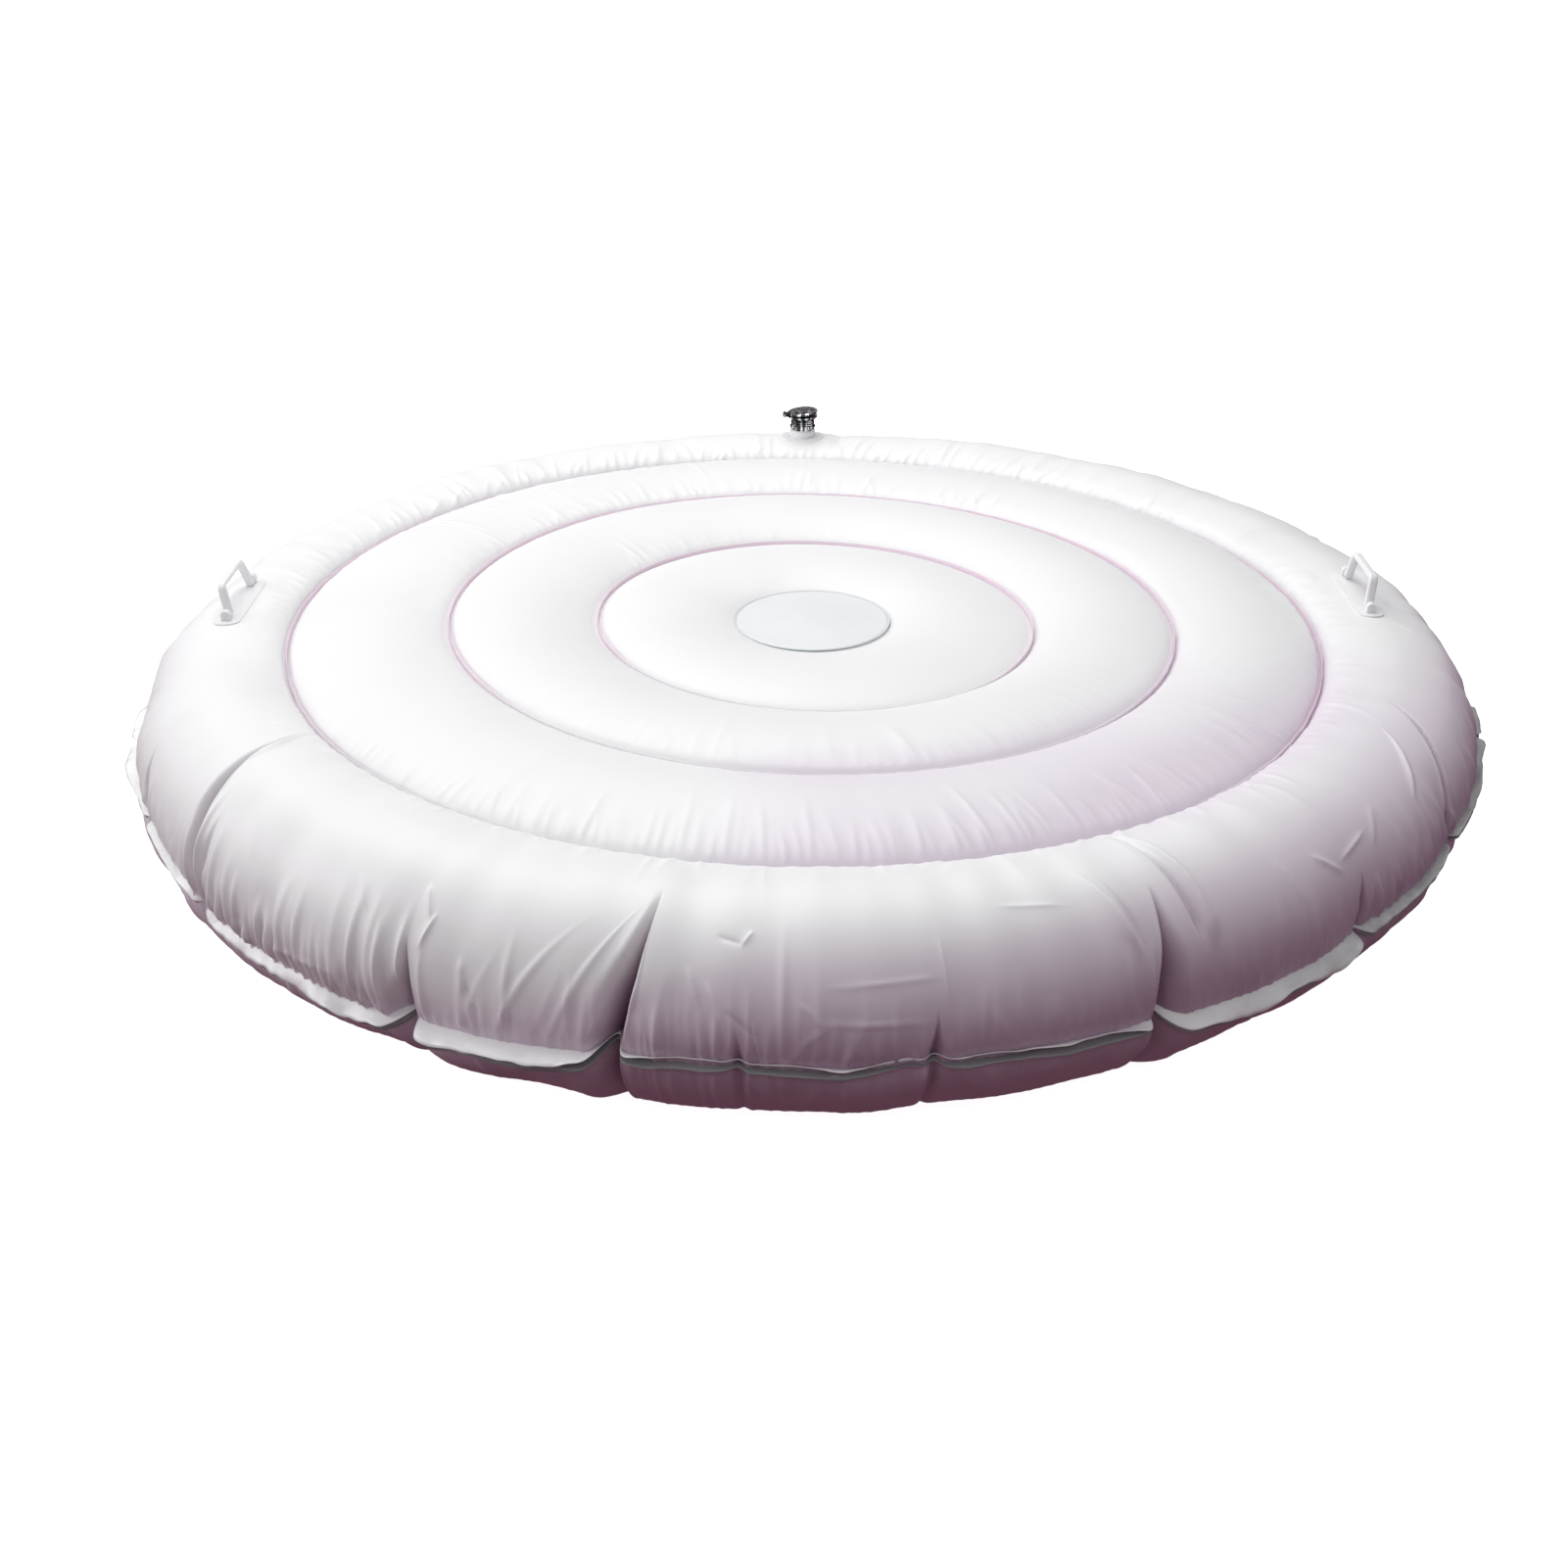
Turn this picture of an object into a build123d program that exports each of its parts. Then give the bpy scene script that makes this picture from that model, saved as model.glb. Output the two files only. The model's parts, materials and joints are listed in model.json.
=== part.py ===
from build123d import *
import math
import os

# Large round air cushion for balance training, as it would come apart on a bench:
# two welded film panels held level by four baffle rings, three coloured seam tapes,
# a centre patch, two swinging grab handles and a metal air valve with a hinged lid.
# Origin: centre of the footprint on the floor. +Z up, valve at +Y, handles at -X and +X.
# All sizes in millimetres.

# Cushion
FLANGE_R = 750.0            # outer edge of the welded rim
FLANGE_W = 12.0             # width of the welded rim
SEAM_R = FLANGE_R - FLANGE_W
SEAM_Z = 110.0              # height of the rim above the floor
FILM_T = 0.8                # film thickness
WELD_W = 8.0                # width of each ring weld
WELD_RINGS = {              # weld radius, height above the rim
    "centre": (88.0, 78.0),
    "inner": (247.0, 79.0),
    "middle": (408.0, 87.0),
    "outer": (577.0, 77.0),
}
PILLOW_RISE = (14.0, 19.0, 22.0)   # how far each ring of film stands off its chord, from the centre out
TOP_TUBE_RISE = 55.0
BOTTOM_TUBE_RISE = 71.0
TAPE_W = 6.0
TAPE_T = 0.6
AIR_HOLE_R = 15.0
AIR_HOLES = 8

# Grab handles
HANDLE_SPAN = 106.0         # between the feet of the strap
STRAP_TOP = 82.0            # length of the strap's top run
STRAP_RISE = 28.0           # pivot to the middle of the top run
STRAP_W = 10.0
STRAP_T = 6.5
STRAP_CORNER_R = 10.0
STRAP_ROUNDING = 2.6
PAD_LENGTH = 140.0
PAD_W = 30.0
PAD_T = 1.6
GLUE_GAP = 0.3
PIVOT_RISE = 5.6            # pivot above the pad
PIVOT_R = 2.5
PIVOT_PLAY = 0.05
LUG_R = 5.2
LUG_T = 7.0
LUG_GAP = 0.5
LUG_SINK = 4.0              # how far a lug's web reaches below the crest before the tube cuts it
HANDLES = {                 # bearing of the pad's middle, lean of the strap towards -X, in degrees
    "left": (180.0, 14.0),
    "right": (3.2, -8.0),
}

# Air valve, heights measured up from the crest of the outer tube
BODY_R = 12.5
BODY_TOP = 27.0
BODY_FOOT = -32.0
BODY_FOOT_R = 11.0
BODY_FLANGE_R = 17.0
BODY_FLANGE_TOP = -5.0
BODY_FLANGE_T = 2.0
INLET_R = 9.0
SEAT_R = 6.0
SEAT_LOW = 5.0
SEAT_HIGH = 8.0
FIT_GAP = 0.1
BOSS_R = 30.0
BOSS_NECK_R = 18.0
BOSS_TOP = 11.0
BOSS_SKIRT_T = 1.6
WASHER_R = 16.5
WASHER_T = 1.3
GASKET_T = 1.8
NUT_FLATS = 31.0
NUT_T = 5.0
NUT_CHAMFER = 1.0
HEAD_GAP = 0.2              # between the head and what it is screwed down to
HEAD_NECK_R = 15.0
HEAD_RIDGE_R = 16.8
HEAD_RIDGES = (18.8, 21.6)  # lower edges of the two grip ridges
HEAD_RIDGE_T = 2.0
HEAD_RIDGE_SLOPE = 0.6
HEAD_FLARE_LOW = 24.4
HEAD_RIM_LOW = 28.6
HEAD_RIM_R = 21.0
HEAD_TOP = 31.0
HEAD_MOUTH_R = 12.0
LID_R = 21.5
LID_T = 4.2
LID_CROWN = 1.6
LID_GAP = 0.3
LID_AJAR = 5.0              # degrees open at rest
HINGE_X = -25.5
HINGE_R = 2.8
HINGE_PIN_R = 1.2
EAR_T = 2.5
EAR_ARM_T = 2.0
KNUCKLE_W = 5.8
LID_ARM_T = 2.6
SEAL_T = 1.5
SEAL_PLAY = 0.7
POPPET_R = 8.2
POPPET_T = 3.0
POPPET_LIFT = 2.5           # from the seat down to the top of the poppet
STEM_R = 2.0
SPRING_R = 5.5
SPRING_WIRE_R = 0.5
SPRING_TURNS = 6
RETAINER_T = 3.0
RETAINER_DEPTH = 2.0        # inside the foot of the stem
RETAINER_HOLE_R = 1.8
RETAINER_HOLES = 4
PRESS_FIT = 0.02
CUTTER = 30.0               # half length of the tools that cut through a whole piece


def spot(point):
    """A radius and height as a point of the XZ plane."""
    return (point[0], 0, point[1])


def bulge(start, end, rise):
    """A line from start to end, or the arc that stands off it to the left by rise."""
    if rise == 0:
        return Line(spot(start), spot(end))
    run, climb = end[0] - start[0], end[1] - start[1]
    chord = math.hypot(run, climb)
    middle = (
        (start[0] + end[0]) / 2 - rise * climb / chord,
        (start[1] + end[1]) / 2 + rise * run / chord,
    )
    return ThreePointArc(spot(start), spot(middle), spot(end))


def arc_circle(start, end, rise):
    """Centre and radius of the circle that bulge draws."""
    run, climb = end[0] - start[0], end[1] - start[1]
    chord = math.hypot(run, climb)
    radius = (chord**2 / 4 + rise**2) / (2 * abs(rise))
    offset = rise - math.copysign(radius, rise)
    centre_r = (start[0] + end[0]) / 2 - offset * climb / chord
    centre_z = (start[1] + end[1]) / 2 + offset * run / chord
    return centre_r, centre_z, radius


def chord_rise(start, end, radius):
    """Rise of the arc of this radius over the chord from start to end."""
    half = math.dist(start, end) / 2
    return radius - math.sqrt(radius**2 - half**2)


def turned(edges):
    """The solid that a closed outline in the XZ plane sweeps round the Z axis."""
    return revolve(make_face(edges), Axis.Z, 360)


def outline(points):
    """Straight edges through the points and back to the first."""
    return [bulge(a, b, 0) for a, b in zip(points, points[1:] + points[:1])]


def ring(inner_r, outer_r, low, high):
    """A flat ring between two heights, or a disc when inner_r is 0."""
    height = high - low
    solid = Cylinder(outer_r, height)
    if inner_r > 0:
        solid -= Cylinder(inner_r, height)
    return Pos(0, 0, (low + high) / 2) * solid


TUBE_START = (WELD_RINGS["outer"][0] + WELD_W / 2, SEAM_Z + WELD_RINGS["outer"][1])
TUBE_END = (SEAM_R, SEAM_Z + FILM_T)
CREST_R, CREST_CENTRE_Z, TUBE_R = arc_circle(TUBE_START, TUBE_END, TOP_TUBE_RISE)
CREST_Z = CREST_CENTRE_Z + TUBE_R


def ring_chain(side):
    """Points and rises of the film from the axis to the outer ring weld; side is 1 on top, -1 below."""
    level = SEAM_Z + side * WELD_RINGS["centre"][1]
    points, rises = [(0, level)], []
    for (radius, height), rise in zip(WELD_RINGS.values(), (0,) + PILLOW_RISE):
        level = SEAM_Z + side * height
        inner_edge = radius - WELD_W / 2
        if rise:
            points.append((inner_edge, level))
            rises.append(side * rise)
        points.append((radius + WELD_W / 2, level))
        rises.append(0)
    return points, rises


def film(points, rises, side):
    """One panel: the outer chain, the welded rim, and the same chain a film thickness further in."""
    inner = [(r, z - side * FILM_T) for r, z in points[:-1]] + [(SEAM_R - FILM_T, SEAM_Z)]
    rim = [points[-1], (FLANGE_R, SEAM_Z + side * FILM_T), (FLANGE_R, SEAM_Z), inner[-1]]
    edges = [bulge(a, b, s) for a, b, s in zip(points, points[1:], rises)]
    edges += [bulge(a, b, 0) for a, b in zip(rim, rim[1:])]
    edges += [bulge(a, b, s) for a, b, s in zip(inner, inner[1:], rises)]
    edges.append(bulge(inner[0], points[0], 0))
    return turned(edges)


def top_panel():
    points, rises = ring_chain(1)
    panel = film(points + [TUBE_END], rises + [TOP_TUBE_RISE], 1)
    return panel - valve_place() * ring(0, BODY_R + FIT_GAP, -CUTTER, CUTTER)


def bottom_panel():
    """The fuller lower half, flattened where it stands on the floor."""
    points, rises = ring_chain(-1)
    seam = (SEAM_R, SEAM_Z - FILM_T)
    centre_r, centre_z, radius = arc_circle(points[-1], seam, -BOTTOM_TUBE_RISE)
    foot_half = math.sqrt(radius**2 - centre_z**2)
    feet = [(centre_r - foot_half, 0), (centre_r + foot_half, 0)]
    inner_rise = -chord_rise(points[-1], feet[0], radius)
    outer_rise = -chord_rise(feet[1], seam, radius)
    return film(points + feet + [seam], rises + [inner_rise, 0, outer_rise], -1)


def baffle(radius, height):
    """Upright ring of film that ties the panels together at a ring weld, with air holes."""
    low, high = SEAM_Z - height + FILM_T, SEAM_Z + height - FILM_T
    half = WELD_W / 2
    band = ring(radius - FILM_T / 2, radius + FILM_T / 2, low, high)
    for foot in (low, high - FILM_T):
        band += ring(radius - half, radius + half, foot, foot + FILM_T)
    for turn in range(AIR_HOLES):
        hole = Rot(0, 90, 0) * Cylinder(AIR_HOLE_R, WELD_W)
        band -= Rot(0, 0, turn * 360 / AIR_HOLES) * Pos(radius, 0, SEAM_Z) * hole
    return band


def seam_tape(radius, height):
    """Narrow coloured tape welded over a ring weld."""
    level = SEAM_Z + height
    return ring(radius - TAPE_W / 2, radius + TAPE_W / 2, level, level + TAPE_T)


def centre_patch():
    radius, height = WELD_RINGS["centre"]
    level = SEAM_Z + height
    return ring(0, radius + WELD_W / 2, level, level + FILM_T)


def tube_under(stand_off):
    """Everything inside the outer tube's upper surface raised by stand_off."""
    return Pos(0, 0, CREST_CENTRE_Z) * Torus(CREST_R, TUBE_R + stand_off)


def handle_place(bearing):
    """The crest of the tube at a bearing, with +Y kept along the strap."""
    angle = math.radians(bearing)
    return Pos(CREST_R * math.cos(angle), CREST_R * math.sin(angle), CREST_Z)


PIVOT_Z = GLUE_GAP + PAD_T + PIVOT_RISE


def along_y(radius, start, end):
    """A round bar along Y at the pivot height."""
    bar = Rot(90, 0, 0) * Cylinder(radius, end - start)
    return Pos(0, (start + end) / 2, PIVOT_Z) * bar


def handle_pad(bearing):
    """Base glued on the tube, with a lug at each end that carries the strap's trunnion."""
    place = handle_place(bearing)
    footprint = extrude(Rot(0, 0, 90) * SlotOverall(PAD_LENGTH, PAD_W), CUTTER, both=True)
    pad = (place * footprint) & (tube_under(GLUE_GAP + PAD_T) - tube_under(GLUE_GAP))
    lug_start = HANDLE_SPAN / 2 + LUG_GAP
    lugs = []
    for side in (-1, 1):
        start, end = sorted((side * lug_start, side * (lug_start + LUG_T)))
        web_middle = Pos(0, (start + end) / 2, (PIVOT_Z - LUG_SINK) / 2)
        web = web_middle * Box(2 * LUG_R, LUG_T, PIVOT_Z + LUG_SINK)
        lugs.append(place * (along_y(LUG_R, start, end) + web) - tube_under(GLUE_GAP))
    bore = along_y(PIVOT_R + PIVOT_PLAY, -PAD_LENGTH, PAD_LENGTH)
    return pad + lugs - place * bore


def strap_loop():
    """Rounded flat-topped ring in the YZ plane; only its part above the pivot becomes the strap."""
    half, top = HANDLE_SPAN / 2, STRAP_TOP / 2
    low, high = -STRAP_W - STRAP_T, STRAP_RISE + STRAP_T / 2
    outer = make_face(Polyline((-half, low), (-top, high), (top, high), (half, low), close=True))
    outer = fillet(outer.vertices(), STRAP_CORNER_R)
    loop = extrude(Plane.YZ * (outer - offset(outer, -STRAP_T)), STRAP_W / 2, both=True)
    return fillet(loop.faces().filter_by(Axis.X).edges(), STRAP_ROUNDING)


def handle_strap(bearing, lean):
    """Slender moulded loop that turns on a trunnion at each foot."""
    tall = 2 * STRAP_RISE
    front = Circle(STRAP_W / 2) + Pos(0, tall / 2) * Rectangle(STRAP_W, tall)
    strap = strap_loop() & extrude(Plane.XZ * front, HANDLE_SPAN, both=True)
    strap = Pos(0, 0, PIVOT_Z) * strap
    for side in (-1, 1):
        near, far = HANDLE_SPAN / 2 - STRAP_T, HANDLE_SPAN / 2 + LUG_GAP + LUG_T
        strap += along_y(PIVOT_R, *sorted((side * near, side * far)))
    about_pivot = Pos(0, 0, PIVOT_Z) * Rot(0, -lean, 0) * Pos(0, 0, -PIVOT_Z)
    return handle_place(bearing) * about_pivot * strap


def valve_place():
    """Top of the tube at the back, where the valve stands."""
    return Pos(0, CREST_R, CREST_Z)


def valve_boss():
    """Soft moulded boss welded on the tube round the valve: a thin skirt and a domed neck."""
    bore, foot, top_r = BODY_R + FIT_GAP, -WELD_W, BOSS_NECK_R - 2.5
    edges = [
        bulge((bore, foot), (BOSS_NECK_R, foot), 0),
        bulge((BOSS_NECK_R, foot), (BOSS_NECK_R, BOSS_TOP / 2), 0),
        bulge((BOSS_NECK_R, BOSS_TOP / 2), (top_r, BOSS_TOP), -1.0),
        bulge((top_r, BOSS_TOP), (bore, BOSS_TOP), 0),
        bulge((bore, BOSS_TOP), (bore, foot), 0),
    ]
    skirt = valve_place() * ring(bore, BOSS_R, -CUTTER, CUTTER) & tube_under(GLUE_GAP + BOSS_SKIRT_T)
    return skirt + valve_place() * turned(edges) - tube_under(GLUE_GAP)


def valve_body():
    """Hollow stem through the film, with a flange under it and a seat for the poppet."""
    flange_low = BODY_FLANGE_TOP - BODY_FLANGE_T
    points = [
        (INLET_R, BODY_FOOT), (BODY_FOOT_R, BODY_FOOT), (BODY_FOOT_R, flange_low),
        (BODY_FLANGE_R, flange_low), (BODY_FLANGE_R, BODY_FLANGE_TOP), (BODY_R, BODY_FLANGE_TOP),
        (BODY_R, BODY_TOP), (INLET_R, BODY_TOP), (INLET_R, SEAT_HIGH), (SEAT_R, SEAT_HIGH),
        (SEAT_R, SEAT_LOW), (INLET_R, SEAT_LOW),
    ]
    return valve_place() * turned(outline(points))


def valve_gasket():
    low = BODY_FLANGE_TOP
    return valve_place() * ring(BODY_R + FIT_GAP, BODY_FLANGE_R, low, low + GASKET_T)


def valve_washer():
    return valve_place() * ring(BODY_R + FIT_GAP, WASHER_R, BOSS_TOP, BOSS_TOP + WASHER_T)


NUT_LOW = BOSS_TOP + WASHER_T
NUT_HIGH = NUT_LOW + NUT_T


def valve_nut():
    """Hexagon nut with chamfered corners that clamps the film between boss and flange."""
    hexagon = extrude(RegularPolygon(NUT_FLATS / 2, 6, major_radius=False), NUT_T)
    corner_r = NUT_FLATS / math.sqrt(3)
    round_off = outline([
        (0, 0), (corner_r - NUT_CHAMFER, 0), (corner_r, NUT_CHAMFER), (corner_r, NUT_T - NUT_CHAMFER),
        (corner_r - NUT_CHAMFER, NUT_T), (0, NUT_T),
    ])
    nut = (hexagon & turned(round_off)) - ring(0, BODY_R + FIT_GAP, -1, NUT_T + 1)
    return valve_place() * Pos(0, 0, NUT_LOW) * nut


def hinge_bar(radius, start, end):
    """A round bar along the lid's hinge line."""
    bar = Rot(90, 0, 0) * Cylinder(radius, end - start)
    return Pos(HINGE_X, (start + end) / 2, HINGE_Z) * bar


HINGE_Z = HEAD_TOP + 0.5
EAR_START = KNUCKLE_W / 2 + 0.3


def valve_head():
    """Flared head screwed on the stem, with two ears for the lid's pin."""
    bore, shelf, foot = BODY_R + FIT_GAP, BODY_TOP + HEAD_GAP, NUT_HIGH + HEAD_GAP
    points = [(bore, foot), (HEAD_NECK_R, foot)]
    for low in HEAD_RIDGES:
        high = low + HEAD_RIDGE_T
        points += [(HEAD_NECK_R, low), (HEAD_RIDGE_R, low + HEAD_RIDGE_SLOPE),
                   (HEAD_RIDGE_R, high - HEAD_RIDGE_SLOPE), (HEAD_NECK_R, high)]
    points += [
        (HEAD_NECK_R, HEAD_FLARE_LOW), (HEAD_RIM_R, HEAD_RIM_LOW), (HEAD_RIM_R, HEAD_TOP),
        (HEAD_MOUTH_R, HEAD_TOP), (HEAD_MOUTH_R, shelf), (bore, shelf),
    ]
    head = turned(outline(points))
    for side in (-1, 1):
        start, end = sorted((side * EAR_START, side * (EAR_START + EAR_T)))
        inner_x = 1 - HEAD_RIM_R
        arm = Pos((HINGE_X + inner_x) / 2, (start + end) / 2, HEAD_TOP - EAR_ARM_T / 2)
        head += hinge_bar(HINGE_R, start, end) + arm * Box(inner_x - HINGE_X, EAR_T, EAR_ARM_T)
    head -= hinge_bar(HINGE_PIN_R, -CUTTER, CUTTER)
    return valve_place() * head


def lid_swing():
    """Lid from shut to its resting, slightly open place."""
    return Pos(HINGE_X, 0, HINGE_Z) * Rot(0, -LID_AJAR, 0) * Pos(-HINGE_X, 0, -HINGE_Z)


def valve_lid():
    """Crowned metal lid with one knuckle between the head's ears."""
    low = HEAD_TOP + LID_GAP
    high = low + LID_T
    edge_high = high - LID_CROWN
    points = [
        (0, low), (LID_R - 0.6, low), (LID_R, low + 0.6), (LID_R, edge_high),
        (LID_R - 1.5, edge_high + 0.9), (HEAD_MOUTH_R, high), (0, high),
    ]
    arm_length = -HINGE_X - LID_R + 2
    arm_middle = Pos(HINGE_X + arm_length / 2, 0, low + LID_ARM_T / 2)
    arm = arm_middle * Box(arm_length, KNUCKLE_W, LID_ARM_T)
    knuckle = hinge_bar(HINGE_R, -KNUCKLE_W / 2, KNUCKLE_W / 2)
    lid = turned(outline(points)) + arm + knuckle
    lid -= hinge_bar(HINGE_PIN_R + PIVOT_PLAY, -CUTTER, CUTTER)
    return valve_place() * lid_swing() * lid


def lid_seal():
    """Rubber disc under the lid that closes the mouth."""
    low = HEAD_TOP + LID_GAP
    return valve_place() * lid_swing() * ring(0, HEAD_MOUTH_R - SEAL_PLAY, low - SEAL_T, low)


def lid_hinge_pin():
    half = EAR_START + EAR_T
    return valve_place() * hinge_bar(HINGE_PIN_R, -half, half)


POPPET_LOW = SEAT_LOW - POPPET_LIFT - POPPET_T
RETAINER_LOW = BODY_FOOT + RETAINER_DEPTH
RETAINER_HIGH = RETAINER_LOW + RETAINER_T


def poppet():
    """Push-down check valve: a disc on a stem that runs in the retainer."""
    disc = ring(0, POPPET_R, POPPET_LOW, POPPET_LOW + POPPET_T)
    return valve_place() * (disc + ring(0, STEM_R, BODY_FOOT, SEAT_HIGH - 0.5))


def poppet_seal():
    low = POPPET_LOW + POPPET_T
    return valve_place() * ring(STEM_R + PIVOT_PLAY, POPPET_R, low, SEAT_LOW - 0.05)


def spring_retainer():
    """Disc pressed into the foot of the stem: it holds the spring and guides the poppet."""
    disc = ring(STEM_R + PIVOT_PLAY, INLET_R - PRESS_FIT, RETAINER_LOW, RETAINER_HIGH)
    hole = Pos(SPRING_R, 0, 0) * ring(0, RETAINER_HOLE_R, -CUTTER, RETAINER_HIGH + 1)
    for turn in range(RETAINER_HOLES):
        disc -= Rot(0, 0, turn * 360 / RETAINER_HOLES) * hole
    return valve_place() * disc


def poppet_spring():
    """Compression spring between the retainer and the poppet."""
    clear = SPRING_WIRE_R + 0.1
    height = POPPET_LOW - RETAINER_HIGH - 2 * clear
    coil = Helix(height / SPRING_TURNS, height, SPRING_R)
    wire = sweep(Plane(coil @ 0, z_dir=coil % 0) * Circle(SPRING_WIRE_R), coil)
    return valve_place() * Pos(0, 0, RETAINER_HIGH + clear) * wire


def pieces():
    """Every node by name."""
    nodes = {"top_panel": top_panel(), "bottom_panel": bottom_panel(), "centre_patch": centre_patch()}
    for name, (radius, height) in WELD_RINGS.items():
        nodes[f"{name}_baffle"] = baffle(radius, height)
        if name != "centre":
            nodes[f"{name}_seam_tape"] = seam_tape(radius, height)
    for name, (bearing, lean) in HANDLES.items():
        nodes[f"{name}_handle_pad"] = handle_pad(bearing)
        nodes[f"{name}_handle_strap"] = handle_strap(bearing, lean)
    makers = (valve_boss, valve_body, valve_gasket, valve_washer, valve_nut, valve_head, valve_lid,
              lid_seal, lid_hinge_pin, poppet, poppet_seal, spring_retainer, poppet_spring)
    for maker in makers:
        nodes[maker.__name__] = maker()
    return nodes


os.makedirs("parts", exist_ok=True)
for node, solid in pieces().items():
    export_step(solid, f"parts/{node}.step")
    print(node, round(solid.volume, 1))
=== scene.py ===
"""Dresses the round air cushion: puckered film chambers, welded rim, seam tapes, handles and valve.

Sizes are in millimetres until a mesh is made, bearings are in degrees counted from +X towards +Y.
"""

import json
import logging
import math
from dataclasses import dataclass, field
from enum import Enum
from typing import Any, Iterable, Sequence

import bmesh
import bpy
import numpy as np
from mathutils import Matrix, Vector


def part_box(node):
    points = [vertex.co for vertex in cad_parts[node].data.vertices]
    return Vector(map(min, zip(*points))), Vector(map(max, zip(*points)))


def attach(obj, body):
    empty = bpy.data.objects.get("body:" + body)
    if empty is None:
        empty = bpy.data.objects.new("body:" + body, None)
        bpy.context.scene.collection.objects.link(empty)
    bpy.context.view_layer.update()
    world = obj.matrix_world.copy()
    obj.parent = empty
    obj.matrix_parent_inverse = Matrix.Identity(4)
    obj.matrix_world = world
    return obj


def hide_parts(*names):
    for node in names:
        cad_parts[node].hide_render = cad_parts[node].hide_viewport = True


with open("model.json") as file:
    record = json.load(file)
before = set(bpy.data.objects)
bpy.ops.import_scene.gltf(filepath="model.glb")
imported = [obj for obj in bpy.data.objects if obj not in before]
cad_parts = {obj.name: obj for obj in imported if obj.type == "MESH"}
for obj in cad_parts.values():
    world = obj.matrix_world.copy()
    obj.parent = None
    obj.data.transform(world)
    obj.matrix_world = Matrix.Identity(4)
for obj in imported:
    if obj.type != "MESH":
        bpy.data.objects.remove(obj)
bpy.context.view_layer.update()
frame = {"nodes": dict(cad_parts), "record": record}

MM = 0.001
CUSHION = "cushion"
TUBE_COLUMNS = 2520
CREASE_SHADE = "crease"                        # painted shade in the folds: how deep in a fold the film lies, from 0 to 1, for the film's colour

Colour = tuple[float, float, float]
Point = tuple[float, float]

log = logging.getLogger("air_cushion")


# ---------------------------------------------------------------- shader and node helpers


class Wire:
    """One value inside a material. Arithmetic on it adds Math nodes."""

    def __init__(self, board: "Board", socket: bpy.types.NodeSocket) -> None:
        """Keeps the board and the output socket."""
        self.board, self.socket = board, socket

    def _math(self, operation: str, first: Any, second: Any) -> "Wire":
        """Adds one Math node on two values."""
        node = self.board.node("ShaderNodeMath", {"operation": operation}, {0: first, 1: second})
        return Wire(self.board, node.outputs[0])

    def __add__(self, other: Any) -> "Wire":
        """Sum."""
        return self._math("ADD", self, other)

    def __radd__(self, other: Any) -> "Wire":
        """Sum, reflected."""
        return self._math("ADD", other, self)

    def __sub__(self, other: Any) -> "Wire":
        """Difference."""
        return self._math("SUBTRACT", self, other)

    def __mul__(self, other: Any) -> "Wire":
        """Product."""
        return self._math("MULTIPLY", self, other)

    def __rmul__(self, other: Any) -> "Wire":
        """Product, reflected."""
        return self._math("MULTIPLY", other, self)

    def __pow__(self, other: Any) -> "Wire":
        """Power."""
        return self._math("POWER", self, other)


class Board:
    """A node tree under construction."""

    def __init__(self, tree: bpy.types.NodeTree) -> None:
        """Keeps the tree."""
        self.tree = tree

    def node(self, kind: str, settings: dict[str, Any] | None = None,
             sockets: dict[Any, Any] | None = None) -> bpy.types.Node:
        """Adds one node.

        Args:
            kind: the node's type.
            settings: properties set first; "stops" sets a ramp's positions and colours.
            sockets: input name or number to a value, a Wire or an output socket.

        Returns:
            The new node.
        """
        node = self.tree.nodes.new(kind)
        for name, value in (settings or {}).items():
            if name == "stops":
                self._set_stops(node.color_ramp, value)
            else:
                setattr(node, name, value)
        for name, value in (sockets or {}).items():
            target = node.inputs[name]
            if isinstance(value, Wire):
                self.tree.links.new(value.socket, target)
            elif isinstance(value, bpy.types.NodeSocket):
                self.tree.links.new(value, target)
            else:
                target.default_value = value
        return node

    @staticmethod
    def _set_stops(ramp: bpy.types.ColorRamp, stops: Sequence[tuple[float, Colour]]) -> None:
        """Gives a ramp its stops."""
        while len(ramp.elements) < len(stops):
            ramp.elements.new(1.0)
        for element, (position, colour) in zip(ramp.elements, stops):
            element.position, element.color = position, (*colour, 1.0)

    def noise(self, where: Any, scale: float, detail: float = 3.0, rough: float = 0.55) -> Wire:
        """Noise from 0 to 1 at a scale in cells per metre."""
        node = self.node("ShaderNodeTexNoise", {},
                         {"Vector": where, "Scale": scale, "Detail": detail, "Roughness": rough})
        return Wire(self, node.outputs[0])

    def between(self, value: Wire, low: float, high: float) -> Wire:
        """0 below low, 1 above high and a smooth step between them."""
        node = self.node("ShaderNodeMapRange", {"interpolation_type": "SMOOTHSTEP"},
                         {"Value": value, "From Min": low, "From Max": high})
        return Wire(self, node.outputs["Result"])

    def blend(self, share: Wire, first: Any, second: Any) -> bpy.types.NodeSocket:
        """A colour between two colours."""
        first, second = ((*c, 1.0) if isinstance(c, tuple) else c for c in (first, second))
        node = self.node("ShaderNodeMix", {"data_type": "RGBA"}, {0: share, 6: first, 7: second})
        return node.outputs[2]


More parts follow.
